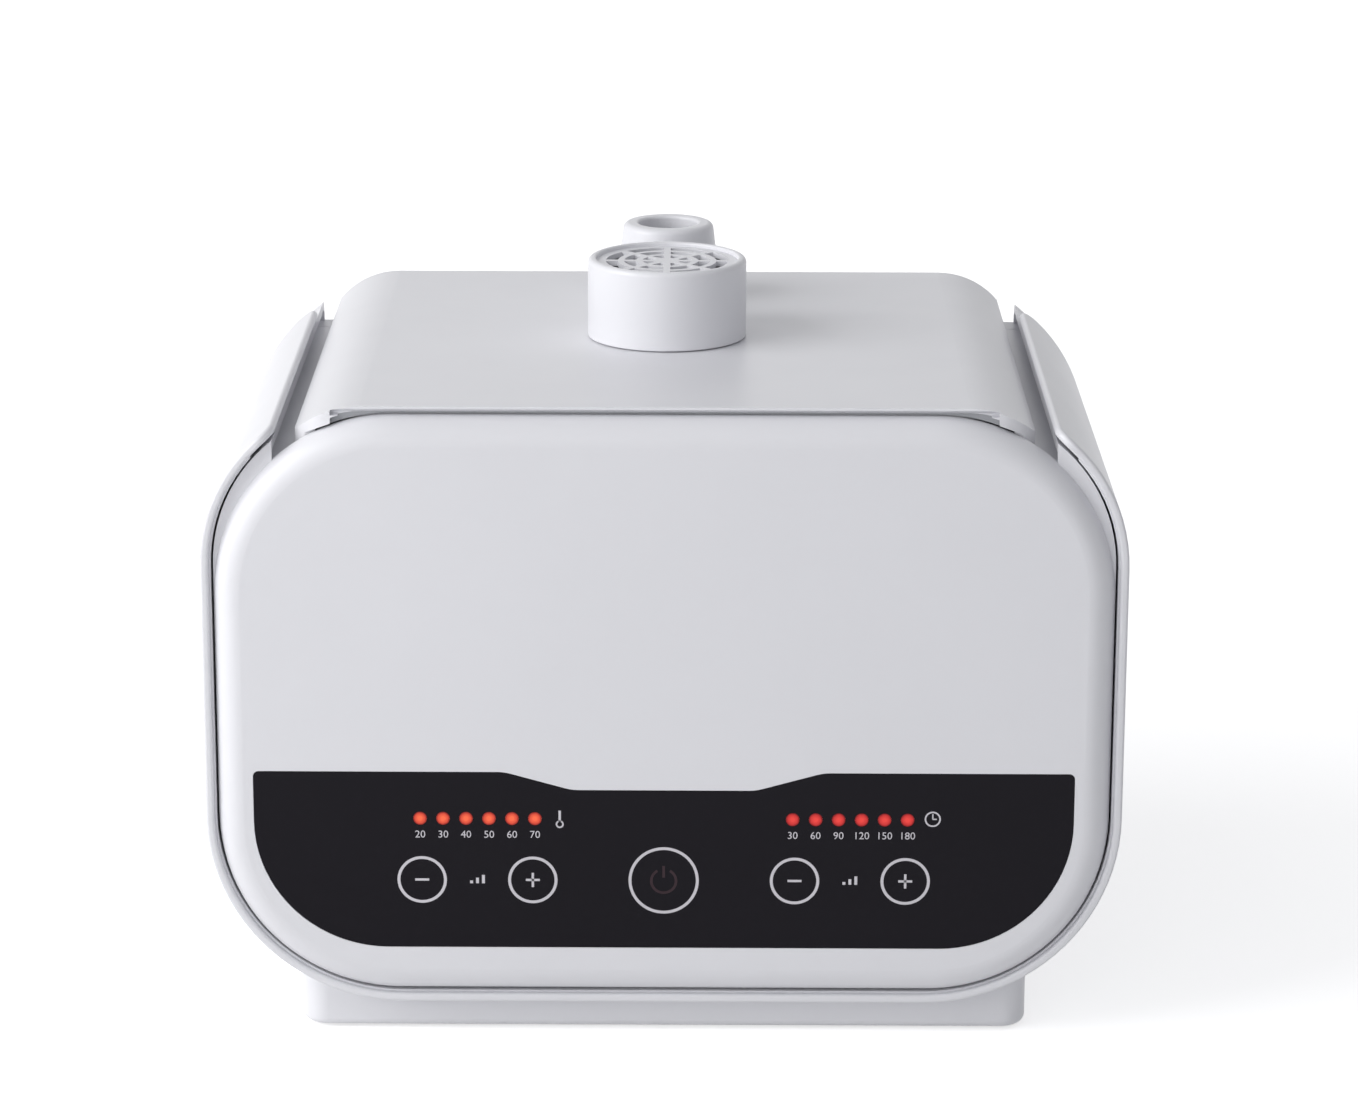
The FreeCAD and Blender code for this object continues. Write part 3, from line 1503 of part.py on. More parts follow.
def power_inlet():
    """Flanged two-pole socket, let into the rear cover."""
    flange_back = rear + inlet_flange_thick
    flange = inlet_prism(inlet_flange_width, inlet_flange_height, inlet_flange_corner, rear, flange_back)
    body = inlet_prism(inlet_body_width, inlet_body_height, 0, rear - inlet_body_depth, rear + join)
    recess_low = flange_back - inlet_recess_depth
    recess_corner = inlet_recess_height / 2 - screw_clear
    recess_size = (inlet_recess_width, inlet_recess_height, recess_corner)
    holes = [inlet_prism(*recess_size, recess_low, flange_back + over)]
    for x in inlet_pin_xs():
        start = Vec(x, rear - inlet_body_depth - over, inlet_z)
        holes.append(rod(inlet_pin_radius + inlet_pin_fit, start, Vec(x, rear, inlet_z)))
    return fused([flange, body]).cut(holes)


def inlet_pin_xs():
    return (inlet_x - inlet_pin_pitch / 2, inlet_x + inlet_pin_pitch / 2)


def inlet_pins():
    start_y = rear - inlet_body_depth - inlet_tail
    end_y = rear + inlet_flange_thick - inlet_recess_depth + inlet_pin_length
    ends = [(Vec(x, start_y, inlet_z), Vec(x, end_y, inlet_z)) for x in inlet_pin_xs()]
    return group([rod(inlet_pin_radius, start, end) for start, end in ends])


def humidity_sensor():
    """Louvred sensor capsule high on the chamber's front wall."""
    back = chamber_front + sensor_depth
    half = sensor_width / 2
    corners = rect(-half, half, sensor_z - sensor_height / 2, sensor_z + sensor_height / 2, sensor_corner)
    capsule = prism_xz(corners, chamber_front, back)
    louvres = []
    for i in range(sensor_louvres):
        z = sensor_z + (i - (sensor_louvres - 1) / 2) * 2 * sensor_louvre
        reach = half - sensor_corner
        louvre_z = (z - sensor_louvre / 2, z + sensor_louvre / 2)
        louvres.append(box(-reach, reach, back - sensor_depth / 2, back + over, *louvre_z))
    return capsule.cut(louvres)


def cable(points):
    """Round cable along straight runs joined by tangent arcs."""
    edges = []
    start = points[0]
    for before, corner, after in zip(points, points[1:], points[2:]):
        back = before - corner
        ahead = after - corner
        back.normalize()
        ahead.normalize()
        half = back.getAngle(ahead) / 2
        middle = back + ahead
        middle.normalize()
        reach = cable_bend / math.tan(half)
        arc_start = corner + back * reach
        arc_middle = corner + middle * (cable_bend / math.sin(half) - cable_bend)
        arc_end = corner + ahead * reach
        edges.append(Part.LineSegment(start, arc_start).toShape())
        edges.append(Part.Arc(arc_start, arc_middle, arc_end).toShape())
        start = arc_end
    edges.append(Part.LineSegment(start, points[-1]).toShape())
    path = Part.Wire(edges)
    section = Part.Wire(Part.Circle(points[0], points[1] - points[0], cable_radius).toShape())
    return path.makePipeShell([section], True, True)


def wiring():
    """Leads from the power board to the touch board, the inlet, the heater and the fan."""
    lead_x = power_face_x + socket_depth / 2
    touch_socket, inlet_socket, heater_socket, fan_socket = power_sockets()
    touch_x, touch_z = touch_socket_place()
    touch_y = touch_board_back + touch_socket_depth / 2
    rise_y = touch_y + 3 * cable_bend
    half = socket_width / 2
    leads = [cable([
        Vec(lead_x, touch_socket[0] - half, touch_socket[1]),
        Vec(lead_x, rise_y, touch_socket[1]),
        Vec(lead_x, rise_y, touch_z),
        Vec(lead_x, touch_y, touch_z),
        Vec(touch_x, touch_y, touch_z),
    ])]
    tail_x = inlet_pin_xs()[0]
    tail_y = rear - inlet_body_depth - inlet_tail
    leads.append(cable([
        Vec(lead_x, inlet_socket[0] + half, inlet_socket[1]),
        Vec(lead_x, tail_y - 4 * cable_bend, inlet_socket[1]),
        Vec(tail_x, tail_y - 2.5 * cable_bend, inlet_z),
        Vec(tail_x, tail_y, inlet_z),
    ]))
    run_y = (tub_back + rear - cover_wall) / 2
    duct_side = fan_mid_y + duct_inner_half() + duct_wall
    fan_side = fan_mid_y + fan_size / 2
    far_ends = (
        (heater_socket, duct_front + duct_depth / 2, duct_side),
        (fan_socket, fan_front + fan_thick / 2, fan_side),
    )
    for (socket_y, socket_z), far_x, far_y in far_ends:
        leads.append(cable([
            Vec(lead_x, socket_y + half, socket_z),
            Vec(lead_x, run_y, socket_z),
            Vec(far_x, run_y, socket_z),
            Vec(far_x, far_y, socket_z),
        ]))
    return group(leads)


# Screws of the body

def panel_screws():
    screws = []
    for x, z in mirrored(panel_boss_x, panel_boss_zs):
        seat = Vec(x, sleeve_front + panel_lug_depth, z)
        head = rod(screw_head_radius, seat, seat + Y_AXIS * screw_head_height)
        screws.append(head.fuse(rod(screw_radius, Vec(x, panel_boss_front + 2 * over, z), seat)))
    return group(screws)


def rear_cover_screws():
    screws = []
    for x, z in mirrored(rear_boss_x, rear_boss_zs):
        seat = Vec(x, rear - screw_head_height, z)
        head = rod(screw_head_radius, seat, seat + Y_AXIS * screw_head_height)
        tip = Vec(x, sleeve_back - rear_boss_length + boss_wall + over, z)
        screws.append(head.fuse(rod(screw_radius, tip, seat)))
    return group(screws)


def base_screws():
    screws = []
    for x, y in base_screw_points:
        seat = Vec(x, y, base_shoulder_z)
        head = rod(base_screw_head_radius, seat - Z_AXIS * base_screw_head_height, seat)
        screws.append(head.fuse(rod(base_screw_radius, seat, Vec(x, y, tub_under - 1.5 * over))))
    return group(screws)


NODES = {
    "body_sleeve": body_sleeve,
    "front_panel": front_panel,
    "rear_cover": rear_cover,
    "outer_band": outer_band,
    "base_plinth": base_plinth,
    "rubber_feet": rubber_feet,
    "control_window": control_window,
    "indicator_lenses": indicator_lenses,
    "indicator_leds": indicator_leds,
    "touch_pads": touch_pads,
    "touch_board": touch_board,
    "touch_board_parts": touch_board_parts,
    "touch_board_screws": touch_board_screws,
    "lid_cover": lid_cover,
    "gasket_carrier": gasket_carrier,
    "lid_gasket": lid_gasket,
    "hinge_pins": hinge_pins,
    "vent_collar": vent_collar,
    "vent_cap": vent_cap,
    "vent_filter": vent_filter,
    "filament_port": filament_port,
    "port_seal": port_seal,
    "port_nut": port_nut,
    "chamber_tub": chamber_tub,
    "left_cradle": left_cradle,
    "right_cradle": right_cradle,
    "cradle_screws": cradle_screws,
    "axle_bearings": axle_bearings,
    "front_roller_axle": lambda: roller_axle(roller_ys[0]),
    "front_roller_wheels": lambda: roller_wheels(roller_ys[0]),
    "front_roller_tyres": lambda: roller_tyres(roller_ys[0]),
    "rear_roller_axle": lambda: roller_axle(roller_ys[1]),
    "rear_roller_wheels": lambda: roller_wheels(roller_ys[1]),
    "rear_roller_tyres": lambda: roller_tyres(roller_ys[1]),
    "fan_frame": fan_frame,
    "fan_motor": fan_motor,
    "fan_rotor": fan_rotor,
    "fan_screws": fan_screws,
    "air_duct": air_duct,
    "heater_frame": heater_frame,
    "heater_bars": heater_bars,
    "heater_fins": heater_fins,
    "thermal_cutout": thermal_cutout,
    "power_board": power_board,
    "power_board_parts": power_board_parts,
    "power_board_screws": power_board_screws,
    "power_inlet": power_inlet,
    "inlet_pins": inlet_pins,
    "humidity_sensor": humidity_sensor,
    "wiring": wiring,
    "panel_screws": panel_screws,
    "rear_cover_screws": rear_cover_screws,
    "base_screws": base_screws,
}

os.makedirs("parts", exist_ok=True)
for name, build in NODES.items():
    build().exportStep(os.path.join("parts", name + ".step"))
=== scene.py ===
import bpy
import json
import math
from mathutils import Matrix, Vector


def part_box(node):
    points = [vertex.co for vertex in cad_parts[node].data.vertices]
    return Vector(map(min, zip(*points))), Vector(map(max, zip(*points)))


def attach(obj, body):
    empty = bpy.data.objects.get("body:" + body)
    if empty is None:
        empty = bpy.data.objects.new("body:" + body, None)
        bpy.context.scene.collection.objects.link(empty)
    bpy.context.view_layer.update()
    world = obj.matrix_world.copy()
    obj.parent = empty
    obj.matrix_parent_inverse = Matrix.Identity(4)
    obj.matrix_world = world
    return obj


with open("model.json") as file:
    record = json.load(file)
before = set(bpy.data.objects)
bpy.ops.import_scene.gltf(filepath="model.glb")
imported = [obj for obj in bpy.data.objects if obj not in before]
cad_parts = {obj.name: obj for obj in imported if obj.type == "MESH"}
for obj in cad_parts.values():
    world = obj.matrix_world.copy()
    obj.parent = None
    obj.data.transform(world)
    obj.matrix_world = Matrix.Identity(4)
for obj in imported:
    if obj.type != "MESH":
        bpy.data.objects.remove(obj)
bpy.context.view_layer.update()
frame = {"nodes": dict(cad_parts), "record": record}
nodes = frame["nodes"]

MM = 0.001
PHOTO_WIDTH = 1358


def placed(name, data):
    """New object in the scene's own collection."""
    piece = bpy.data.objects.new(name, data)
    bpy.context.scene.collection.objects.link(piece)
    return piece


# Places taken from the frame

def centres_along_x(node, gap):
    """Middles in mm of a node's separate pieces along x, where more than gap parts two pieces."""
    xs = sorted(vertex.co.x / MM for vertex in nodes[node].data.vertices)
    runs = [[xs[0], xs[0]]]
    for x in xs:
        if x - runs[-1][1] > gap:
            runs.append([x, x])
        runs[-1][1] = x
    return [(low + high) / 2 for low, high in runs]


def z_range(node):
    """Lowest and highest z of a node in mm."""
    low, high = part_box(node)
    return low[2] / MM, high[2] / MM


PIECE_GAP = 1.0
FACE_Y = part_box("control_window")[0][1] / MM
LAMP_XS = centres_along_x("indicator_lenses", PIECE_GAP)
LAMP_LOW, LAMP_HIGH = z_range("indicator_lenses")
LAMP_Z = (LAMP_LOW + LAMP_HIGH) / 2
LAMP_RADIUS = (LAMP_HIGH - LAMP_LOW) / 2
LAMP_PITCH = LAMP_XS[-1] - LAMP_XS[-2]
LAMPS_IN_ROW = len(LAMP_XS) // 2
KEY_XS = centres_along_x("touch_pads", PIECE_GAP)
KEY_Z = sum(z_range("touch_pads")) / 2


# Shader helpers

# Places of the colour sockets on a Mix node
MIX_FIRST = 6
MIX_SECOND = 7
MIX_RESULT = 2


def new_material(name):
    material = bpy.data.materials.new(name)
    material.use_nodes = True
    tree = material.node_tree
    tree.nodes.clear()
    return material, tree


def add(tree, kind, values=None, **settings):
    """New node with its settings and the values of its unlinked sockets."""
    node = tree.nodes.new(kind)
    for key, value in settings.items():
        setattr(node, key, value)
    for key, value in (values or {}).items():
        node.inputs[key].default_value = value
    return node


def shown(tree, shader):
    output = add(tree, "ShaderNodeOutputMaterial")
    tree.links.new(shader.outputs[0], output.inputs["Surface"])


def noise(tree, coords, scale, detail=3.0):
    node = add(tree, "ShaderNodeTexNoise", {"Scale": scale, "Detail": detail})
    tree.links.new(coords.outputs["Object"], node.inputs["Vector"])
    return node.outputs["Fac"]


def ranged(tree, value, low, high):
    """Maps 0..1 to low..high."""
    node = add(tree, "ShaderNodeMapRange", {"To Min": low, "To Max": high})
    tree.links.new(value, node.inputs["Value"])
    return node.outputs["Result"]


def mixed(tree, factor, first, second):
    """Colour between two colours or colour sockets."""
    node = add(tree, "ShaderNodeMix", data_type="RGBA")
    tree.links.new(factor, node.inputs["Factor"])
    for place, value in ((MIX_FIRST, first), (MIX_SECOND, second)):
        if isinstance(value, tuple):
            node.inputs[place].default_value = (*value, 1.0)
        else:
            tree.links.new(value, node.inputs[place])
    return node.outputs[MIX_RESULT]


def calculated(tree, operation, *values):
    """Result of a math node on numbers or sockets."""
    node = add(tree, "ShaderNodeMath", operation=operation)
    for socket, value in zip(node.inputs, values):
        if isinstance(value, float):
            socket.default_value = value
        else:
            tree.links.new(value, socket)
    return node.outputs[0]


# Materials

EDGE_RADIUS = 0.4 * MM
EDGE_SAMPLES = 4
EDGE_FACING = 0.85
TINT_SCALE = 14.0
GLOSS_SCALE = 60.0
GLOSS_SPREAD = 0.15
GRAIN_DEPTH = 0.1 * MM
GRAIN_DETAIL = 2.0


def edge_mask(tree):
    """1 on worn edges, 0 on flat faces."""
    bevel = add(tree, "ShaderNodeBevel", {"Radius": EDGE_RADIUS}, samples=EDGE_SAMPLES)
    plain = add(tree, "ShaderNodeNewGeometry")
    dot = add(tree, "ShaderNodeVectorMath", operation="DOT_PRODUCT")
    tree.links.new(bevel.outputs["Normal"], dot.inputs[0])
    tree.links.new(plain.outputs["Normal"], dot.inputs[1])
    node = add(tree, "ShaderNodeMapRange", {"From Min": 1.0, "From Max": EDGE_FACING})
    tree.links.new(dot.outputs["Value"], node.inputs["Value"])
    return node.outputs["Result"]


def surface(name, colour, rough, metallic=0.0, grain=900.0, bump=0.02, tint=0.04, wear=0.0):
    """Moulded or metal surface: soft colour variation, uneven roughness, fine bump, worn edges."""
    material, tree = new_material(name)
    coords = add(tree, "ShaderNodeTexCoord")
    shader = add(tree, "ShaderNodeBsdfPrincipled", {"Metallic": metallic})
    darker = tuple(c * (1.0 - tint) for c in colour)
    lighter = tuple(min(c * (1.0 + tint), 1.0) for c in colour)
    base = mixed(tree, noise(tree, coords, TINT_SCALE), darker, lighter)
    if wear:
        worn = tuple(min(c + wear, 1.0) for c in colour)
        base = mixed(tree, edge_mask(tree), base, worn)
    tree.links.new(base, shader.inputs["Base Color"])
    glossiest = rough * (1.0 - GLOSS_SPREAD)
    dullest = rough * (1.0 + GLOSS_SPREAD)
    uneven = ranged(tree, noise(tree, coords, GLOSS_SCALE), glossiest, dullest)
    tree.links.new(uneven, shader.inputs["Roughness"])
    relief = add(tree, "ShaderNodeBump", {"Strength": bump, "Distance": GRAIN_DEPTH})
    tree.links.new(noise(tree, coords, grain, GRAIN_DETAIL), relief.inputs["Height"])
    tree.links.new(relief.outputs["Normal"], shader.inputs["Normal"])
    shown(tree, shader)
    return material


# Glow of a lamp at parts of its radius
LAMP_GLOW = (
    (0.25, (0.95, 0.16, 0.065, 1.0)),
    (0.72, (0.66, 0.07, 0.035, 1.0)),
    (1.0, (0.13, 0.008, 0.006, 1.0)),
)
RIGHT_LAMP_TINT = (0.80, 0.36, 0.72, 1.0)
LAMP_GLOSS = {"Roughness": 0.25, "Specular IOR Level": 0.2, "Emission Strength": 0.95}
LAMP_SPECKLE = 0.12
LAMP_SPECKLE_SCALE = 700.0
LENS_COLOURS = ((0.08, 0.004, 0.004), (0.14, 0.008, 0.008))
LENS_TINT_SCALE = 300.0


def lamp_material():
    """Lit lens: orange in the middle of each lamp, deep red at its rim, redder on the right."""
    material, tree = new_material("red_lens")
    coords = add(tree, "ShaderNodeTexCoord")
    split = add(tree, "ShaderNodeSeparateXYZ")
    tree.links.new(coords.outputs["Object"], split.inputs["Vector"])
    half_pitch = LAMP_PITCH / 2 * MM
    either_row = calculated(tree, "ABSOLUTE", split.outputs["X"])
    from_last = calculated(tree, "SUBTRACT", either_row, LAMP_XS[-1] * MM)
    across = calculated(tree, "WRAP", from_last, half_pitch, -half_pitch)
    up = calculated(tree, "SUBTRACT", split.outputs["Z"], LAMP_Z * MM)
    across_square = calculated(tree, "MULTIPLY", across, across)
    square = calculated(tree, "MULTIPLY_ADD", up, up, across_square)
    distance = calculated(tree, "DIVIDE", calculated(tree, "SQRT", square), LAMP_RADIUS * MM)
    speckle = noise(tree, coords, LAMP_SPECKLE_SCALE)
    distance = calculated(tree, "ADD", distance, ranged(tree, speckle, -LAMP_SPECKLE, LAMP_SPECKLE))
    ramp = add(tree, "ShaderNodeValToRGB")
    stops = ramp.color_ramp.elements
    stops.new(LAMP_GLOW[1][0])
    for stop, (position, colour) in zip(stops, LAMP_GLOW):
        stop.position = position
        stop.color = colour
    tree.links.new(distance, ramp.inputs["Fac"])
    redder = add(tree, "ShaderNodeMix", data_type="RGBA", blend_type="MULTIPLY")
    redder.inputs[MIX_SECOND].default_value = RIGHT_LAMP_TINT
    on_right = calculated(tree, "GREATER_THAN", split.outputs["X"], 0.0)
    tree.links.new(on_right, redder.inputs["Factor"])
    tree.links.new(ramp.outputs["Color"], redder.inputs[MIX_FIRST])
    shader = add(tree, "ShaderNodeBsdfPrincipled", LAMP_GLOSS)
    body = mixed(tree, noise(tree, coords, LENS_TINT_SCALE), *LENS_COLOURS)
    tree.links.new(body, shader.inputs["Base Color"])
    tree.links.new(redder.outputs[MIX_RESULT], shader.inputs["Emission Color"])
    shown(tree, shader)
    return material


WINDOW_COLOURS = ((0.0040, 0.0030, 0.0060), (0.0060, 0.0046, 0.0085))
WINDOW_TINT_SCALE = 9.0
WINDOW_SPECULAR = 0.12
SMUDGE_SCALE = 25.0
SMUDGE_DETAIL = 5.0
SMUDGE_ROUGHNESS = (0.10, 0.20)


def window_material():
    """Polished near-black panel with faint smudges."""
    material, tree = new_material("black_window")
    coords = add(tree, "ShaderNodeTexCoord")
    shader = add(tree, "ShaderNodeBsdfPrincipled", {"Specular IOR Level": WINDOW_SPECULAR})
    base = mixed(tree, noise(tree, coords, WINDOW_TINT_SCALE), *WINDOW_COLOURS)
    tree.links.new(base, shader.inputs["Base Color"])
    smudges = noise(tree, coords, SMUDGE_SCALE, SMUDGE_DETAIL)
    tree.links.new(ranged(tree, smudges, *SMUDGE_ROUGHNESS), shader.inputs["Roughness"])
    shown(tree, shader)
    return material


# Name, colour and roughness of each plain surface, and what differs from the usual finish
SURFACES = (
    ("white_shell", (0.77, 0.77, 0.80), 0.36, {"tint": 0.015, "wear": 0.03}),
    ("grey_plastic", (0.52, 0.53, 0.55), 0.5, {"bump": 0.05}),
    ("black_plastic", (0.022, 0.022, 0.024), 0.45, {"bump": 0.05, "tint": 0.15, "wear": 0.03}),
    ("led_body", (0.6, 0.12, 0.08), 0.3, {}),
    ("contact_foam", (0.05, 0.05, 0.05), 0.9, {"bump": 0.4}),
    ("circuit_board", (0.02, 0.11, 0.045), 0.4, {"tint": 0.2}),
    ("screw_steel", (0.55, 0.55, 0.57), 0.3, {"metallic": 1.0, "wear": 0.2}),
    ("bare_aluminium", (0.72, 0.72, 0.73), 0.35, {"metallic": 1.0, "wear": 0.1}),
    ("brass_contact", (0.70, 0.50, 0.20), 0.3, {"metallic": 1.0, "wear": 0.1}),
    ("copper_winding", (0.55, 0.25, 0.12), 0.35, {"metallic": 1.0, "grain": 2500.0, "bump": 0.5}),
    ("dark_rubber", (0.03, 0.03, 0.03), 0.75, {"bump": 0.2, "tint": 0.2}),
    ("grey_silicone", (0.38, 0.39, 0.41), 0.65, {"bump": 0.1}),
    ("filter_foam", (0.22, 0.22, 0.24), 0.95, {"grain": 1200.0, "bump": 0.9, "tint": 0.35}),
    ("black_cable", (0.02, 0.02, 0.02), 0.5, {"tint": 0.2}),
)
MATERIALS = {
    name: surface(name, colour, rough, **finish) for name, colour, rough, finish in SURFACES
}
MATERIALS["black_window"] = window_material()
MATERIALS["red_lens"] = lamp_material()
PRINT = surface("print_ink", (0.62, 0.60, 0.64), 0.5, tint=0.06)
DIM_PRINT = surface("dim_print_ink", (0.018, 0.004, 0.009), 0.8, tint=0.1)

for part in frame["record"]["subparts"]:
    mesh = nodes[part["node"]].data
    mesh.materials.clear()
    mesh.materials.append(MATERIALS[part["material_slot"]])


# Printed marks on the control window, drawn in millimetres

PRINT_LIFT = 0.02
PRINT_Y = (FACE_Y - PRINT_LIFT) * MM
DIGIT_CURVE_STEPS = 3


def ridden(name, mesh, material):
    """Mark that stays with the housing."""
    mesh.materials.clear()
    mesh.materials.append(material)
    piece = placed(name, mesh)
    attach(piece, "housing")


def mark(name, material, *shapes):
    """Flat mark from shapes, each a list of (x, z) points and a list of faces."""
    points = []
    faces = []
    for shape_points, shape_faces in shapes:
        first = len(points)
        points += [(x * MM, PRINT_Y, z * MM) for x, z in shape_points]
        faces += [tuple(first + i for i in face) for face in shape_faces]
    mesh = bpy.data.meshes.new(name)
    mesh.from_pydata(points, [], faces)
    ridden(name, mesh, material)


def ring(x, z, radius, width, start=0.0, sweep=360.0, steps=96):
    """A ring, or the part of one that sweeps from start."""
    points = []
    for i in range(steps + 1):
        angle = math.radians(start + sweep * i / steps)
        for r in (radius - width / 2, radius + width / 2):
            points.append((x + r * math.cos(angle), z + r * math.sin(angle)))
    return points, [(2 * i, 2 * i + 1, 2 * i + 3, 2 * i + 2) for i in range(steps)]


def bar(x, z, width, height):
    """Upright rectangle with its middle at (x, z)."""
    left = x - width / 2
    low = z - height / 2
    right = left + width
    high = low + height
    return [(left, low), (right, low), (right, high), (left, high)], [(0, 1, 2, 3)]


def number(name, text, x, z, size):
    """Plain number with its middle at (x, z)."""
    curve = bpy.data.curves.new(name, "FONT")
    curve.body = text
    curve.size = size * MM
    curve.align_x = "CENTER"
    curve.align_y = "CENTER"
    curve.resolution_u = DIGIT_CURVE_STEPS
    letters = placed(name + "_text", curve)
    bpy.context.view_layer.update()
    mesh = bpy.data.meshes.new_from_object(letters)
    bpy.data.objects.remove(letters)
    upright = Matrix.Rotation(math.pi / 2, 4, "X")
    mesh.transform(Matrix.Translation((x * MM, PRINT_Y, z * MM)) @ upright)
    ridden(name, mesh, PRINT)


# Key rings with their signs

KEY_NAMES = ("left_minus", "left_plus", "power", "right_minus", "right_plus")
RING_RADIUS = 8.63
RING_LINE = 1.1
SIGN_LINE = 0.9
MINUS_LENGTH = 5.2
PLUS_HEIGHT = 5.6
POWER_RING_RADIUS = 12.5
POWER_LINE = 1.0
POWER_ARC_RADIUS = 4.6
POWER_ARC_DROP = 0.2
POWER_ARC_START = 120.0
POWER_ARC_SWEEP = 300.0
POWER_BAR_RISE = 3.4
POWER_BAR_HEIGHT = 4.6

for name, x in zip(KEY_NAMES, KEY_XS):
    if name == "power":
        mark("print_ring_power", PRINT, ring(x, KEY_Z, POWER_RING_RADIUS, RING_LINE))
        arc_z = KEY_Z - POWER_ARC_DROP
        arc = ring(x, arc_z, POWER_ARC_RADIUS, POWER_LINE, POWER_ARC_START, POWER_ARC_SWEEP)
        stroke = bar(x, KEY_Z + POWER_BAR_RISE, POWER_LINE, POWER_BAR_HEIGHT)
        mark("print_power_mark", DIM_PRINT, arc, stroke)
        continue
    shapes = [ring(x, KEY_Z, RING_RADIUS, RING_LINE), bar(x, KEY_Z, MINUS_LENGTH, SIGN_LINE)]
    if name.endswith("plus"):
        shapes.append(bar(x, KEY_Z, SIGN_LINE, PLUS_HEIGHT))
    mark("print_ring_" + name, PRINT, *shapes)


# Numbers under the lamps: each row's side, first number and step

LABELS = (("left", 20, 10), ("right", 30, 30))
LABEL_DROP = 6.3
LABEL_SIZE = 4.0

for row, (side, first, step) in enumerate(LABELS):
    for i in range(LAMPS_IN_ROW):
        text = str(first + step * i)
        x = LAMP_XS[row * LAMPS_IN_ROW + i]
        number("print_number_%s_%s" % (side, text), text, x, LAMP_Z - LABEL_DROP, LABEL_SIZE)


# Thermometer and clock at the ends of the lamp rows, and rising bars between the keys

HEAT_GAP = 9.2
BULB_DROP = 2.1
BULB_RADIUS = 1.2
BULB_LINE = 0.6
STEM_RISE = 1.0
STEM_WIDTH = 0.9
STEM_HEIGHT = 4.4
CLOCK_GAP = 9.3
CLOCK_RISE = 0.4
CLOCK_RADIUS = 2.7
CLOCK_LINE = 0.6
HAND_LINE = 0.5
LONG_HAND = 2.0
LONG_HAND_RISE = 1.4
SHORT_HAND = 1.6
SHORT_HAND_SHIFT = 0.7
STEP_COUNT = 3
STEP_PITCH = 2.2
STEP_WIDTH = 1.1
STEP_RISE = 1.1
STEP_DROP = 1.4

heat_x = LAMP_XS[LAMPS_IN_ROW - 1] + HEAT_GAP
bulb = ring(heat_x, LAMP_Z - BULB_DROP, BULB_RADIUS, BULB_LINE)
stem = bar(heat_x, LAMP_Z + STEM_RISE, STEM_WIDTH, STEM_HEIGHT)
mark("print_heat_mark", PRINT, bulb, stem)

time_x = LAMP_XS[-1] + CLOCK_GAP
clock_z = LAMP_Z + CLOCK_RISE
dial = ring(time_x, clock_z, CLOCK_RADIUS, CLOCK_LINE)
long_hand = bar(time_x, LAMP_Z + LONG_HAND_RISE, HAND_LINE, LONG_HAND)
short_hand = bar(time_x + SHORT_HAND_SHIFT, clock_z, SHORT_HAND, HAND_LINE)
mark("print_time_mark", PRINT, dial, long_hand, short_hand)


def step_bars(x):
    """Three rising bars on one line."""
    bars = []
    for i in range(STEP_COUNT):
        height = STEP_RISE * (i + 1)
        middle_z = KEY_Z - STEP_DROP + height / 2
        bars.append(bar(x + STEP_PITCH * (i - 1), middle_z, STEP_WIDTH, height))
    return bars


mark("print_heat_steps", PRINT, *step_bars((KEY_XS[0] + KEY_XS[1]) / 2))
mark("print_time_steps", PRINT, *step_bars((KEY_XS[3] + KEY_XS[4]) / 2))


# Wall behind the lid's finger lip, drawn in millimetres

# Corner of the front panel's outline, and the rolled side of the lid's arch
PANEL_CORNER = 67.0
CROWN_X = 111.0
CROWN_OUTSIDE = 32.0
CROWN_INSIDE = 30.4
LIP_SIDE = 14.0
LIP_WALL_Y = (-119.7, -118.7)
LIP_WALL_GAP = 0.6
LIP_WALL_RISE = 1.5
LIP_WALL_STEPS = 80


def lip_wall():
    """Strip that closes the lid's front above the panel, from the panel's outline into the lid."""
    panel_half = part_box("front_panel")[1][0] / MM
    panel_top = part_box("front_panel")[1][2] / MM
    lid_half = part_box("lid_cover")[1][0] / MM
    lid_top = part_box("lid_cover")[1][2] / MM
    half = lid_half - LIP_SIDE
    corner_x = panel_half - PANEL_CORNER
    corner_z = panel_top - PANEL_CORNER
    crown_z = lid_top - CROWN_OUTSIDE
    roof = panel_top + LIP_WALL_RISE
    points = []
    for i in range(LIP_WALL_STEPS + 1):
        x = half * (2 * i / LIP_WALL_STEPS - 1)
        past_corner = max(abs(x) - corner_x, 0.0)
        past_crown = max(abs(x) - CROWN_X, 0.0)
        low = corner_z + math.sqrt(PANEL_CORNER ** 2 - past_corner ** 2) + LIP_WALL_GAP
        high = min(roof, crown_z + math.sqrt(CROWN_INSIDE ** 2 - past_crown ** 2))
        for y in LIP_WALL_Y:
            points += [(x * MM, y * MM, low * MM), (x * MM, y * MM, high * MM)]
    faces = [(0, 1, 3, 2)]
    for i in range(LIP_WALL_STEPS):
        a = 4 * i
        b = a + 4
        faces += [(a, b, b + 1, a + 1), (a + 2, a + 3, b + 3, b + 2)]
        faces += [(a, a + 2, b + 2, b), (a + 1, b + 1, b + 3, a + 3)]
    last = 4 * LIP_WALL_STEPS
    faces.append((last, last + 2, last + 3, last + 1))
    mesh = bpy.data.meshes.new("lid_lip_wall")
    mesh.from_pydata(points, [], faces)
    # The wall is the lid's own front. Its darker grey silicone colour is painted shade for the
    # recess under the lid's lip.
    mesh.materials.append(MATERIALS["grey_silicone"])
    piece = placed("lid_lip_wall", mesh)
    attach(piece, "lid")


lip_wall()


# Stage, light and camera

WHITE = (1.0, 1.0, 1.0, 1.0)
FLOOR_HALF = 6.0
FLOOR_COLOUR = (0.85, 0.85, 0.85, 1.0)
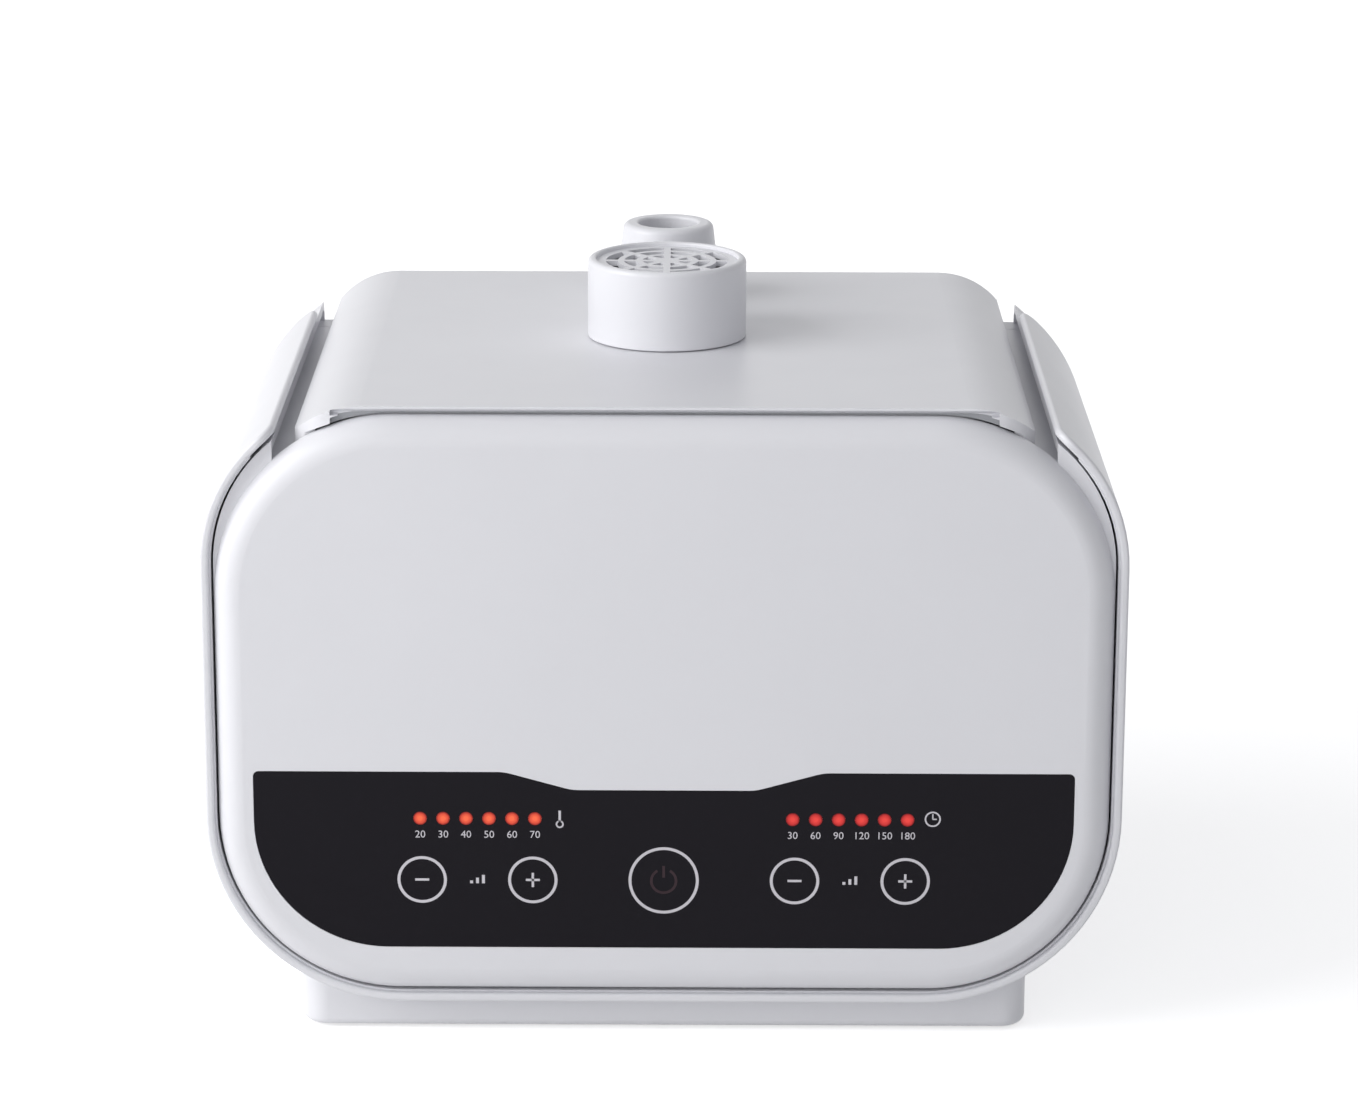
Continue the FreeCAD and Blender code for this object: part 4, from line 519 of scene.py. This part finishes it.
# Glow of the floor by the distance from its middle, in metres
FLOOR_GLOW = {"From Min": 0.25, "From Max": 1.2, "To Min": 0.58, "To Max": 0.8}
WORLD_FILL = {"Color": (0.95, 0.96, 1.0, 1.0), "Strength": 0.39}
WORLD_WHITE = {"Color": WHITE, "Strength": 1.0}

FOCAL_PIXELS = 4487.8
SENSOR_WIDTH = 36.0
CAMERA_PLACE = (11.3, -1702.0, 632.0)
CAMERA_PITCH = 15.682
CAMERA_YAW = 0.2164
CAMERA_ROLL = 0.1615
CAMERA_REACH = 50.0


def seen_rays(tree):
    """1 for rays from the camera, a mirror-like surface or clear glass."""
    rays = add(tree, "ShaderNodeLightPath").outputs
    mirrored = calculated(tree, "MAXIMUM", rays["Is Glossy Ray"], rays["Is Transmission Ray"])
    return calculated(tree, "MAXIMUM", rays["Is Camera Ray"], mirrored)


def white_floor():
    """Pale floor that reads white away from the object and keeps its soft shadow."""
    half = FLOOR_HALF
    corners = [(-half, -half, 0), (half, -half, 0), (half, half, 0), (-half, half, 0)]
    mesh = bpy.data.meshes.new("floor")
    mesh.from_pydata(corners, [], [(0, 1, 2, 3)])
    material, tree = new_material("floor")
    diffuse = add(tree, "ShaderNodeBsdfDiffuse", {"Color": FLOOR_COLOUR})
    glow = add(tree, "ShaderNodeEmission", {"Color": WHITE})
    coords = add(tree, "ShaderNodeTexCoord")
    away = add(tree, "ShaderNodeVectorMath", operation="LENGTH")
    tree.links.new(coords.outputs["Object"], away.inputs[0])
    whiter = add(tree, "ShaderNodeMapRange", FLOOR_GLOW)
    tree.links.new(away.outputs["Value"], whiter.inputs["Value"])
    seen_glow = calculated(tree, "MULTIPLY", seen_rays(tree), whiter.outputs["Result"])
    tree.links.new(seen_glow, glow.inputs["Strength"])
    both = add(tree, "ShaderNodeAddShader")
    tree.links.new(diffuse.outputs[0], both.inputs[0])
    tree.links.new(glow.outputs[0], both.inputs[1])
    shown(tree, both)
    mesh.materials.append(material)
    floor = placed("floor", mesh)


def white_world():
    """White to the camera and to mirror-like rays, a soft grey light to everything else."""
    world = bpy.data.worlds.new("studio")
    world.use_nodes = True
    tree = world.node_tree
    tree.nodes.clear()
    fill = add(tree, "ShaderNodeBackground", WORLD_FILL)
    white = add(tree, "ShaderNodeBackground", WORLD_WHITE)
    choice = add(tree, "ShaderNodeMixShader")
    tree.links.new(seen_rays(tree), choice.inputs[0])
    tree.links.new(fill.outputs[0], choice.inputs[1])
    tree.links.new(white.outputs[0], choice.inputs[2])
    output = add(tree, "ShaderNodeOutputWorld")
    tree.links.new(choice.outputs[0], output.inputs["Surface"])
    bpy.context.scene.world = world


def area_light(name, place, target, size, power):
    """Square lamp that faces its target, in metres and watts."""
    light = bpy.data.lights.new(name, "AREA")
    light.size = size
    light.energy = power
    lamp = placed(name, light)
    lamp.location = place
    facing = Vector(target) - Vector(place)
    lamp.rotation_euler = facing.to_track_quat("-Z", "Y").to_euler()


def camera():
    """Camera solved from points on the photo's front face, lid and plinth."""
    data = bpy.data.cameras.new("camera")
    data.sensor_fit = "HORIZONTAL"
    data.sensor_width = SENSOR_WIDTH
    data.lens = FOCAL_PIXELS / PHOTO_WIDTH * SENSOR_WIDTH
    data.clip_end = CAMERA_REACH
    eye = placed("camera", data)
    place = Matrix.Translation(Vector(CAMERA_PLACE) * MM)
    yaw = Matrix.Rotation(math.radians(CAMERA_YAW), 4, "Z")
    pitch = Matrix.Rotation(math.pi / 2 - math.radians(CAMERA_PITCH), 4, "X")
    roll = Matrix.Rotation(math.radians(CAMERA_ROLL), 4, "Z")
    eye.matrix_world = place @ yaw @ pitch @ roll
    bpy.context.scene.camera = eye


white_floor()
white_world()
area_light("key", place=(-1.63, -0.70, 1.07), target=(0.0, 0.0, 0.15), size=1.6, power=30.5)
area_light("fill", place=(-0.9, -2.1, 0.6), target=(0.0, 0.0, 0.1), size=1.4, power=7.5)
camera()
bpy.context.scene.view_settings.view_transform = "Standard"
